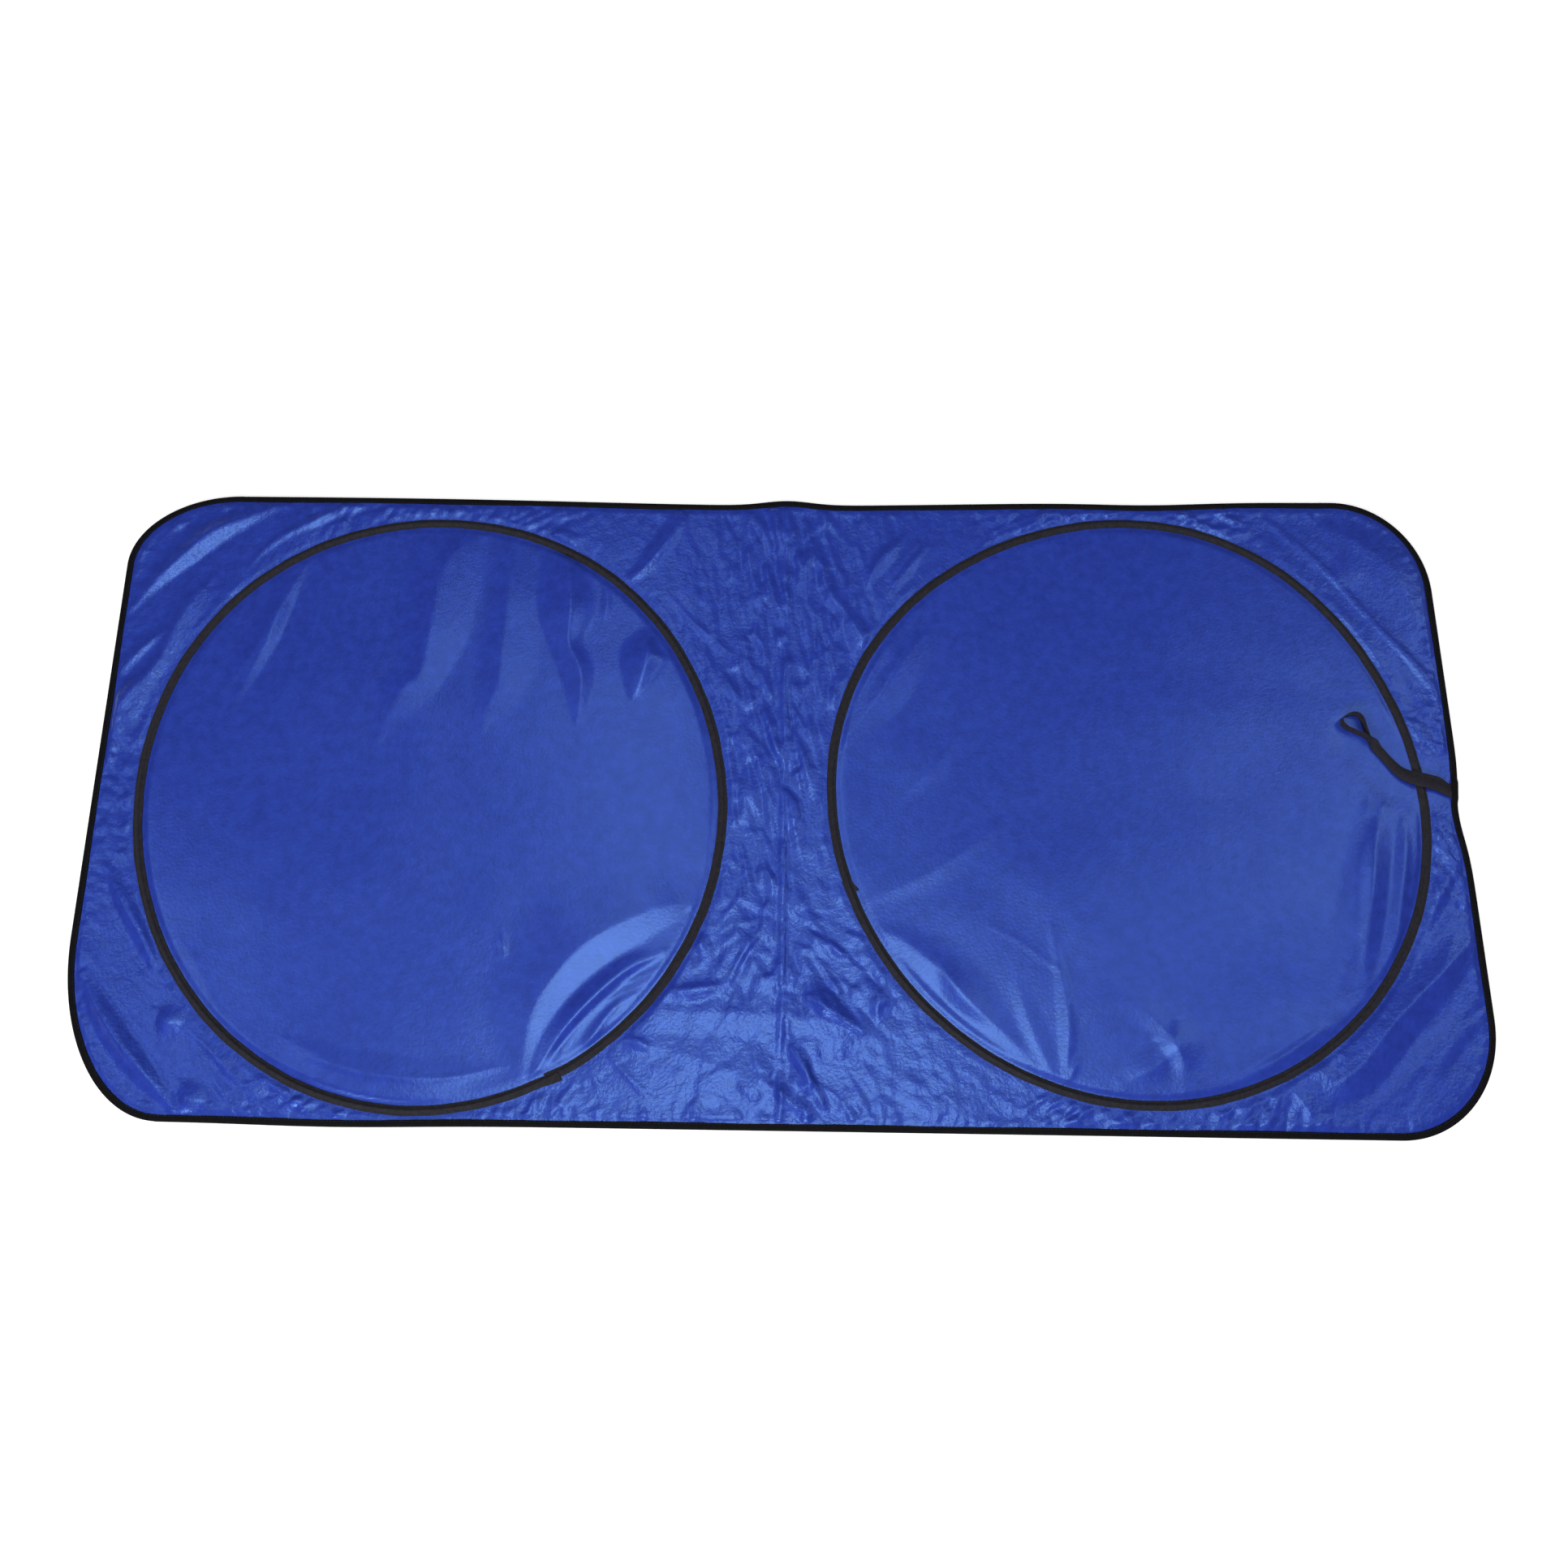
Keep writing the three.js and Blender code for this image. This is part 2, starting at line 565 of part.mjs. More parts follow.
function hoopTape(hoop) {
  const half = tapeWidth / 2;
  const stations = hoopStations(hoop, 0);
  function section(step) {
    const atJoin = step === 0 || step === hoopSteps - 1;
    const room = (atJoin ? ferruleRadius : wireDiameter / 2) + gap;
    const foot = room + tunnelFlare;
    const brow = room - tunnelFlare / 2;
    const ceiling = wireLevel + room;
    return [
      [-half, tapeBase],
      [-foot, tapeBase],
      [-brow, ceiling],
      [brow, ceiling],
      [foot, tapeBase],
      [half, tapeBase],
      [half, tapeBase + tapeThickness],
      [foot + tapeThickness, tapeBase + tapeThickness],
      [brow + tapeThickness / 2, ceiling + tapeThickness],
      [-brow - tapeThickness / 2, ceiling + tapeThickness],
      [-foot - tapeThickness, tapeBase + tapeThickness],
      [-half, tapeBase + tapeThickness],
    ];
  }
  return sweep(stations, section, true);
}

function circleSection(radius, sides) {
  return Array.from({ length: sides }, (_, side) => {
    const angle = (side / sides) * turn;
    return [radius * Math.cos(angle), radius * Math.sin(angle)];
  });
}

function hoopWire(hoop) {
  const { middle, along, across } = joinOf(hoop);
  const up = new THREE.Vector3(0, 0, 1);
  const first = { point: middle.clone().addScaledVector(along, wireEndGap / 2), across, up };
  const last = { point: middle.clone().addScaledVector(along, -wireEndGap / 2), across, up };
  const section = circleSection(wireDiameter / 2, 6);
  return sweep([first, ...hoopStations(hoop, wireLevel), last], () => section, false);
}

function placeFerrule(name, hoop, material) {
  const ring = new THREE.Shape().absarc(0, 0, ferruleRadius, 0, turn);
  ring.holes.push(new THREE.Path().absarc(0, 0, ferruleRadius - ferruleWall, 0, turn, true));
  const sleeve = new THREE.ExtrudeGeometry(ring, { depth: ferruleLength, curveSegments: 12, bevelEnabled: false });
  const { middle, along } = joinOf(hoop);
  const ferrule = mesh(name, sleeve.translate(0, 0, -ferruleLength / 2), material);
  ferrule.position.copy(middle);
  ferrule.quaternion.setFromUnitVectors(new THREE.Vector3(0, 0, 1), along);
  return ferrule;
}

// Strap: two strands that lie one on the other, turn on edge together and open into an eye

function strapFrame(share) {
  const along = strapRoute.getTangent(share).setZ(0).normalize();
  const square = along.clone().cross(new THREE.Vector3(0, 0, 1));
  const besideBinding = new THREE.Vector3(0, 1, 0);
  const level = besideBinding.lerp(square, smoothstep(share, 0, skewEnd)).normalize();
  const rolled = radians(90) * smoothstep(share, rollStart, rollEnd);
  const across = level.clone().applyAxisAngle(along, -rolled).normalize();
  const flatRise = (gap + strapThickness + gap / 2) * Math.cos(rolled);
  const edgeRise = (gap + strapWidth / 2) * Math.sin(rolled);
  const point = strapRoute.getPoint(share);
  point.z += flatRise + edgeRise;
  return { point, along, across, up: across.clone().cross(along).normalize() };
}

function strandStation(share, side) {
  const { point, across, up } = strapFrame(share);
  const splay = strapSplay * (1 - smoothstep(share, splayStart, splayEnd));
  point.addScaledVector(up, (side * strandPitch) / 2).addScaledVector(across, -side * splay);
  return { point, across, up: up.clone().multiplyScalar(-side) };
}

function eyeStations() {
  const { point: neck, across } = strapFrame(1);
  const curve = new THREE.CatmullRomCurve3([
    strandStation(1, -1).point,
    ...eyePath.map(([x, y]) => new THREE.Vector3(neck.x + x, neck.y + y, neck.z)),
    strandStation(1, 1).point,
  ]);
  return Array.from({ length: eyeSteps - 1 }, (_, index) => {
    const share = (index + 1) / eyeSteps;
    const forward = curve.getTangentAt(share);
    return { point: curve.getPointAt(share), across, up: across.clone().cross(forward).normalize() };
  });
}

function elasticStrap() {
  const outward = Array.from({ length: strapSteps + 1 }, (_, step) => strandStation(step / strapSteps, -1));
  const back = Array.from({ length: strapSteps + 1 }, (_, step) => strandStation(1 - step / strapSteps, 1));
  const half = strapWidth / 2;
  const section = [
    [-half, -strapThickness / 2],
    [half, -strapThickness / 2],
    [half, strapThickness / 2],
    [-half, strapThickness / 2],
  ];
  return sweep([...outward, ...eyeStations(), ...back], () => section, false);
}

// Assembly

const clothFinish = new THREE.MeshStandardMaterial({ color: 0x2f48ab, roughness: 0.5, metalness: 0 });
const tapeFinish = new THREE.MeshStandardMaterial({ color: 0x28282e, roughness: 0.8, metalness: 0 });
const bindingFinish = new THREE.MeshStandardMaterial({ color: 0x17181c, roughness: 0.8, metalness: 0 });
const steelFinish = new THREE.MeshStandardMaterial({ color: 0x8c8f94, roughness: 0.35, metalness: 1 });
const ferruleFinish = new THREE.MeshStandardMaterial({ color: 0xa9abad, roughness: 0.45, metalness: 1 });
const strapFinish = new THREE.MeshStandardMaterial({ color: 0x2b2b31, roughness: 0.85, metalness: 0 });

const sunshade = new THREE.Group();
sunshade.add(mesh('cloth_sheet', clothSheet(), clothFinish));
sunshade.add(mesh('edge_binding', edgeBinding(), bindingFinish));
sunshade.add(mesh('left_hoop_tape', hoopTape(leftHoop), tapeFinish));
sunshade.add(mesh('right_hoop_tape', hoopTape(rightHoop), tapeFinish));
sunshade.add(mesh('left_hoop_wire', hoopWire(leftHoop), steelFinish));
sunshade.add(mesh('right_hoop_wire', hoopWire(rightHoop), steelFinish));
sunshade.add(placeFerrule('left_hoop_ferrule', leftHoop, ferruleFinish));
sunshade.add(placeFerrule('right_hoop_ferrule', rightHoop, ferruleFinish));
sunshade.add(mesh('elastic_strap', elasticStrap(), strapFinish));

// The sides pull in unevenly, so the sheet is moved to have the middle of its box above the origin
const box = new THREE.Box2().setFromPoints(outline);
const boxCentre = box.getCenter(new THREE.Vector2());
sunshade.position.set(-boxCentre.x, -boxCentre.y, 0);

export default sunshade;
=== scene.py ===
"""Looks of a folding car sunshade that lies flat on a pale floor, seen from above.

Plan sizes are in millimetres, in the frame's own X and Y, and become metres where meshes are made.
"""
import math

import bpy
import numpy as np
from mathutils import Matrix, Vector


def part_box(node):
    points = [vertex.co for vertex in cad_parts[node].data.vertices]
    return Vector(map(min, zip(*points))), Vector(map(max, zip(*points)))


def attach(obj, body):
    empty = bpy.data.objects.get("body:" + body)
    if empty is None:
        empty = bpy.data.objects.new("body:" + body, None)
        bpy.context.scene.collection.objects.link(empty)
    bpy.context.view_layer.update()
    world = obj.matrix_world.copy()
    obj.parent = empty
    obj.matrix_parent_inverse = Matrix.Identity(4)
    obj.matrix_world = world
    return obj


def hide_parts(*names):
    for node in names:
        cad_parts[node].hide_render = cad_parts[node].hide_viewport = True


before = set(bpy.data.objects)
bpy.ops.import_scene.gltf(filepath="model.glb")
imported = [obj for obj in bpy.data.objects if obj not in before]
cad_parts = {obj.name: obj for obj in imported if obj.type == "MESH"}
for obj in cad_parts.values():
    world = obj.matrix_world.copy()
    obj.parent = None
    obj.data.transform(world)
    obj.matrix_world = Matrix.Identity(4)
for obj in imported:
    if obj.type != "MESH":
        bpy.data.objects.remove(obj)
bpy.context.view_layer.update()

MM = 0.001
TURN = 2 * math.pi
UP = np.array([0.0, 0.0, 1.0])

# Camera, from the perspective of the two hoops in the photograph
PHOTO_SIZE = 1932
FOCAL_PIXELS = 1750
SENSOR_WIDTH = 36
CAMERA_PLACE = (15.9, -447.3, 1435.6)
CAMERA_TILT, CAMERA_YAW, CAMERA_ROLL = 17.68, 0.268, 0.62

# Hoops: lobes are how many, how far they bulge, and where in degrees
HOOP_DIAMETER = 632.7
HOOP_LOBES = {
    "left": [(2, 9.6, -69), (3, 1.2, 21), (4, 0.6, -35), (5, 0.5, -12)],
    "right": [(2, 4.3, -81), (3, 2.4, -59), (4, 1.5, -21), (5, 0.7, -4)],
}
JOIN_ANGLES = {"left": -63, "right": 199}
FERRULE_LENGTH = 20

# Tapes, binding, and the strips of cloth between them
TAPE_WIDTH = 9.8
BINDING_WIDTH = 7
BINDING_THICKNESS = 0.5
LEFT_END_STRIP = 42
RIGHT_END_STRIP = 31.4
LEFT_TOP_STRIP = 25.7
LEFT_BOTTOM_STRIP = 5.9

# Edge: each corner's inset in X and Y, and its reach along the long side and along the end. The order
# is anticlockwise.
CORNERS = {
    "top_left": (0, 6.5, 120, 86),
    "bottom_left": (10, 5, 113, 183),
    "bottom_right": (0, 0, 108, 120),
    "top_right": (5, 0, 100, 110),
}
TOP_SAG, TOP_SAG_REACH = 7.5, 300
CREASE_RISE, CREASE_RISE_REACH = 5.8, 38
TOP_DIP, TOP_DIP_X, TOP_DIP_REACH = 3.2, 416, 78
BOTTOM_BULGE, BOTTOM_BULGE_X, BOTTOM_BULGE_REACH = 2.7, -434, 110
STRAP_PULL, STRAP_PULL_Y, STRAP_PULL_REACH = 5.8, -15, 38
CREASE_SHIFT = 7
CIRCLE_HANDLE = 0.5523

# Levels, from the ground up
TAPE_BASE = 0.8
TAPE_TOP = 3.9
CLOTH_TOP = 0.5
CLOTH_AT_TAPE = 0.45
CLOTH_AT_EDGE = 1.05
BINDING_TOP = 2.1

# Mesh of the cloth: fine cells where it is creased, and cells of twice the size where it is smooth
CELL = 2.4
FLAT_ENOUGH = 0.05
EDGE_INSET = 1.0

# Fields and lines: how far each field reaches, and the steps along the lines
EDGE_REACH = 90
STRAP_REACH = 60
OUTLINE_SPACING = 6
SPLINE_SPACING = 6
BINDING_SPACING = 2.6
FACET_SHARPNESS = 22


def smooth(value, low, high):
    t = np.clip((value - low) / (high - low), 0, 1)
    return t * t * (3 - 2 * t)


def lerp(a, b, t):
    return a + (b - a) * t


# Plan of the hoops

def hoop_radius(lobes, angle):
    radius = HOOP_DIAMETER / 2 + 0 * angle
    for count, bulge, at in lobes:
        radius = radius + bulge * np.cos(count * (angle - math.radians(at)))
    return radius


def hoop_from_frame(side):
    """Centre of a hoop, from the box of its wire in the frame."""
    lobes = HOOP_LOBES[side]
    angle = np.linspace(0, TURN, 721)
    radius = hoop_radius(lobes, angle)
    x, y = radius * np.cos(angle), radius * np.sin(angle)
    low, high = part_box(f"{side}_hoop_wire")
    centre_x = (low.x + high.x) / 2 / MM - (x.min() + x.max()) / 2
    centre_y = (low.y + high.y) / 2 / MM - (y.min() + y.max()) / 2
    reach = {"right": x.max(), "left": -x.min(), "bottom": -y.min(), "top": y.max()}
    return {"side": side, "lobes": lobes, "x": centre_x, "y": centre_y, "reach": reach}


LEFT = hoop_from_frame("left")
RIGHT = hoop_from_frame("right")
HOOPS = (LEFT, RIGHT)
BESIDE_HOOP = BINDING_WIDTH + TAPE_WIDTH / 2
LEFT_END = LEFT["x"] - LEFT["reach"]["left"] - LEFT_END_STRIP - BESIDE_HOOP
RIGHT_END = RIGHT["x"] + RIGHT["reach"]["right"] + RIGHT_END_STRIP + BESIDE_HOOP
BOTTOM_END = LEFT["y"] - LEFT["reach"]["bottom"] - LEFT_BOTTOM_STRIP - BESIDE_HOOP
TOP_END = LEFT["y"] + LEFT["reach"]["top"] + LEFT_TOP_STRIP + BESIDE_HOOP
HALF_LENGTH = (RIGHT_END - LEFT_END) / 2
HALF_WIDTH = (TOP_END - BOTTOM_END) / 2
CENTRE = np.array([RIGHT_END + LEFT_END, TOP_END + BOTTOM_END]) / 2
MIDDLE_X = (LEFT["x"] + LEFT["reach"]["right"] + RIGHT["x"] - RIGHT["reach"]["left"]) / 2
CREASE_X = MIDDLE_X + CREASE_SHIFT


# Plan of the edge

def corner_point(name, side_x, side_y):
    inset_x, inset_y, _, _ = CORNERS[name]
    return CENTRE + [side_x * (HALF_LENGTH - inset_x), side_y * (HALF_WIDTH - inset_y)]


def towards(start, end, distance):
    return start + (end - start) * distance / np.linalg.norm(end - start)


def shares_of(steps):
    return (np.arange(steps) / steps)[:, None]


def bezier(points, steps):
    t = shares_of(steps)
    a, b, c, d = points
    return (1 - t) ** 3 * a + 3 * (1 - t) ** 2 * t * b + 3 * (1 - t) * t * t * c + t ** 3 * d


def bell(distance, reach):
    return np.exp(-(distance / reach) ** 2)


def outline(spacing):
    """Outer edge of the binding, anticlockwise from the top left corner."""
    names = list(CORNERS)
    sides = [(-1, 1), (-1, -1), (1, -1), (1, 1)]
    points = [corner_point(name, *side) for name, side in zip(names, sides)]
    parts = []
    for index, name in enumerate(names):
        before, corner, after = points[index - 1], points[index], points[(index + 1) % 4]
        along_side, along_end = CORNERS[name][2:]
        next_side, next_end = CORNERS[names[(index + 1) % 4]][2:]
        from_side = index % 2 == 0
        reach_before, reach_after = (along_side, along_end) if from_side else (along_end, along_side)
        bend = [towards(corner, before, reach_before),
                towards(corner, before, reach_before * (1 - CIRCLE_HANDLE)),
                towards(corner, after, reach_after * (1 - CIRCLE_HANDLE)),
                towards(corner, after, reach_after)]
        parts.append(bezier(bend, int((reach_before + reach_after) * TURN / 8 / spacing)))
        end = towards(after, corner, next_end if from_side else next_side)
        parts.append(lerp(bend[3], end, shares_of(int(np.linalg.norm(end - bend[3]) / spacing))))
    line = np.concatenate(parts)
    x, y = line[:, 0].copy(), line[:, 1].copy()
    on_long_side = np.abs(x) < HALF_LENGTH - CORNERS["top_left"][2]
    on_top, on_bottom = on_long_side & (y > 0), on_long_side & (y < 0)
    line[:, 1] -= on_top * TOP_SAG * bell(x - MIDDLE_X, TOP_SAG_REACH)
    line[:, 1] += on_top * CREASE_RISE * bell(x - CREASE_X, CREASE_RISE_REACH)
    line[:, 1] -= on_top * TOP_DIP * bell(x - TOP_DIP_X, TOP_DIP_REACH)
    line[:, 1] -= on_bottom * BOTTOM_BULGE * bell(x - BOTTOM_BULGE_X, BOTTOM_BULGE_REACH)
    at_strap = (x > RIGHT["x"]) & (np.abs(y) < HALF_WIDTH - CORNERS["bottom_right"][3])
    line[:, 0] -= at_strap * STRAP_PULL * bell(y - STRAP_PULL_Y, STRAP_PULL_REACH)
    return line


def outward_normals(line):
    along = np.roll(line, -1, axis=0) - np.roll(line, 1, axis=0)
    normals = np.stack([along[:, 1], -along[:, 0]], axis=1)
    return normals / np.linalg.norm(normals, axis=1, keepdims=True)


# Fields over the plan, on a regular grid of points

HALF_COLUMNS = 2 * math.ceil(HALF_LENGTH / CELL / 2)
HALF_ROWS = 2 * math.ceil(HALF_WIDTH / CELL / 2)
GRID_X = np.arange(-HALF_COLUMNS, HALF_COLUMNS + 1) * CELL
GRID_Y = np.arange(-HALF_ROWS, HALF_ROWS + 1) * CELL
X, Y = np.meshgrid(GRID_X, GRID_Y)


def window(low_x, high_x, low_y, high_y):
    columns = slice(*np.searchsorted(GRID_X, [low_x, high_x]))
    rows = slice(*np.searchsorted(GRID_Y, [low_y, high_y]))
    return rows, columns


def line_field(line, reach, closed=False):
    """Distance to a line, which side of it (left is positive), and how far along it, near the line."""
    distance = np.full(X.shape, np.inf)
    side = np.ones(X.shape)
    share = np.zeros(X.shape)
    ends = np.roll(line, -1, axis=0) if closed else line[1:]
    starts = line if closed else line[:-1]
    for index, (start, end) in enumerate(zip(starts, ends)):
        low = np.minimum(start, end) - reach
        high = np.maximum(start, end) + reach
        near = window(low[0], high[0], low[1], high[1])
        along = end - start
        offset_x, offset_y = X[near] - start[0], Y[near] - start[1]
        step = np.clip((offset_x * along[0] + offset_y * along[1]) / along.dot(along), 0, 1)
        away = np.hypot(offset_x - step * along[0], offset_y - step * along[1])
        closer = away < distance[near] - 1e-9
        distance[near] = np.where(closer, away, distance[near])
        left = np.sign(along[0] * offset_y - along[1] * offset_x)
        side[near] = np.where(closer, left, side[near])
        share[near] = np.where(closer, (index + step) / len(starts), share[near])
    return distance, side, share


def spline(points, steps=None):
    """Smooth line through a few given points, with even steps or a number for each stretch."""
    points = np.array(points, float)
    padded = np.vstack([2 * points[0] - points[1], points, 2 * points[-1] - points[-2]])
    rows = []
    for a, b, c, d in zip(padded[:-3], padded[1:-2], padded[2:-1], padded[3:]):
        t = shares_of(steps or max(2, int(np.linalg.norm((c - b)[:2]) / SPLINE_SPACING)))
        rows.append(0.5 * (2 * b + (c - a) * t + (2 * a - 5 * b + 4 * c - d) * t ** 2
                           + (3 * b - a - 3 * c + d) * t ** 3))
    return np.vstack([*rows, points[-1:]])


def blur(field, cells):
    """Gaussian blur of a field, by a number of cells."""
    reach = int(3 * cells) + 1
    weights = np.exp(-0.5 * (np.arange(-reach, reach + 1) / cells) ** 2)
    weights /= weights.sum()
    for axis in (0, 1):
        padding = [(reach, reach) if axis == a else (0, 0) for a in (0, 1)]
        padded = np.pad(field, padding, mode="edge")
        field = sum(weight * np.take(padded, np.arange(index, index + field.shape[axis]), axis=axis)
                    for index, weight in enumerate(weights))
    return field


def hashed(column, row, seed):
    """Even random numbers from 0 to 1, fixed for each whole-number cell."""
    mixed = np.sin(column * 127.1 + row * 311.7 + seed * 74.7) * 43758.5453
    return mixed - np.floor(mixed)


def facets(u, v, seed):
    """Cloth-like facets: each random cell is a tilted plane, and neighbours meet in a soft crease."""
    column, row = np.floor(u), np.floor(v)
    total = np.zeros(u.shape)
    weight_sum = np.zeros(u.shape)
    for step_u in (-1, 0, 1):
        for step_v in (-1, 0, 1):
            cell_u, cell_v = column + step_u, row + step_v
            du = u - cell_u - hashed(cell_u, cell_v, seed)
            dv = v - cell_v - hashed(cell_u, cell_v, seed + 1)
            tilt_u = 2 * hashed(cell_u, cell_v, seed + 2) - 1
            tilt_v = 2 * hashed(cell_u, cell_v, seed + 3) - 1
            weight = np.exp(-FACET_SHARPNESS * (du * du + dv * dv))
            total += weight * (tilt_u * du + tilt_v * dv)
            weight_sum += weight
    return total / weight_sum


def swell(u, v, seed):
    """Soft random hills from -1 to 1."""
    column, row = np.floor(u), np.floor(v)
    fu, fv = smooth(u - column, 0, 1), smooth(v - row, 0, 1)
    corner = [[2 * hashed(column + a, row + b, seed) - 1 for a in (0, 1)] for b in (0, 1)]
    return lerp(lerp(corner[0][0], corner[0][1], fu), lerp(corner[1][0], corner[1][1], fu), fv)


OUTLINE = outline(OUTLINE_SPACING)
edge_distance, edge_side, EDGE_SHARE = line_field(OUTLINE, EDGE_REACH, closed=True)
FROM_EDGE = np.where(np.isinf(edge_distance), EDGE_REACH, edge_distance) * edge_side
HOOP_ANGLE = [np.arctan2(Y - hoop["y"], X - hoop["x"]) for hoop in HOOPS]
HOOP_GAP = [np.hypot(X - hoop["x"], Y - hoop["y"]) - hoop_radius(hoop["lobes"], angle)
            for hoop, angle in zip(HOOPS, HOOP_ANGLE)]
FROM_HOOP = np.minimum(*np.abs(HOOP_GAP))
OUTSIDE = smooth(np.minimum(*HOOP_GAP), -6, 6)

# Plan and levels of the strap, from its root beside the binding to the neck of its eye
STRAP_WIDTH = 10.5
STRAP_THICKNESS = 1.0
STRAP_SPLAY = 3
STRAP_ROOT_Y = 9.8
STRAP_CROSS_Y = 21.3
STRAND_GAP = 0.3
SEAT_MARGIN = 0.5
APPROACH = [(18, -4.5), (6, -1.5)]
DESCENT = [(-3, 0.5), (-12, 3.8), (-21, 9.5), (-29, 19), (-37, 29.2), (-44.5, 38.5), (-51, 46)]
EYE_PATH = [(-1.8, 9.5), (-3.5, 18.5), (-6.5, 25), (-13, 27.5), (-21.5, 24.5), (-26.5, 18.5),
            (-22, 11.5), (-13, 6.8), (-6, 3.8)]
SKEW_END = 0.16
SPLAY_START, SPLAY_END = 0.23, 0.84
ROLL_START, ROLL_END = 0.82, 0.99
STRAP_CLEAR = 22


def strap_route():
    """Line that the strap lies on, with equal steps from each point to the next."""
    near = OUTLINE[(OUTLINE[:, 0] > RIGHT["x"]) & (np.abs(OUTLINE[:, 1] - STRAP_ROOT_Y) < STRAP_WIDTH)]
    root_x = near[:, 0].min() - BINDING_WIDTH - STRAND_GAP - SEAT_MARGIN
    cross_angle = math.asin((STRAP_CROSS_Y - RIGHT["y"]) / (HOOP_DIAMETER / 2))
    cross_x = RIGHT["x"] + hoop_radius(RIGHT["lobes"], cross_angle) * math.cos(cross_angle)
    on_edge = CLOTH_TOP + TAPE_BASE
    levels = [lerp(TAPE_BASE, TAPE_TOP, 0.5), TAPE_TOP, TAPE_TOP]
    levels += [lerp(TAPE_TOP, CLOTH_TOP, share) for share in (0.4, 0.8, 1, 1, 1, 1)]
    plan = [(cross_x + x, STRAP_CROSS_Y + y) for x, y in APPROACH + DESCENT]
    points = [(root_x, STRAP_ROOT_Y, on_edge)] + [(x, y, z) for (x, y), z in zip(plan, levels)]
    return spline(points, steps=12)


STRAP_ROUTE = strap_route()

# Lamps that the folds mirror
SOFTBOX_PLACE = (0, -450, 2950)
SMALL_BOX_PLACE = (-450, 1080, 2950)
LEFT_FILL_PLACE = (-2300, 50, 2950)
RIGHT_FILL_PLACE = (2300, 1000, 2950)

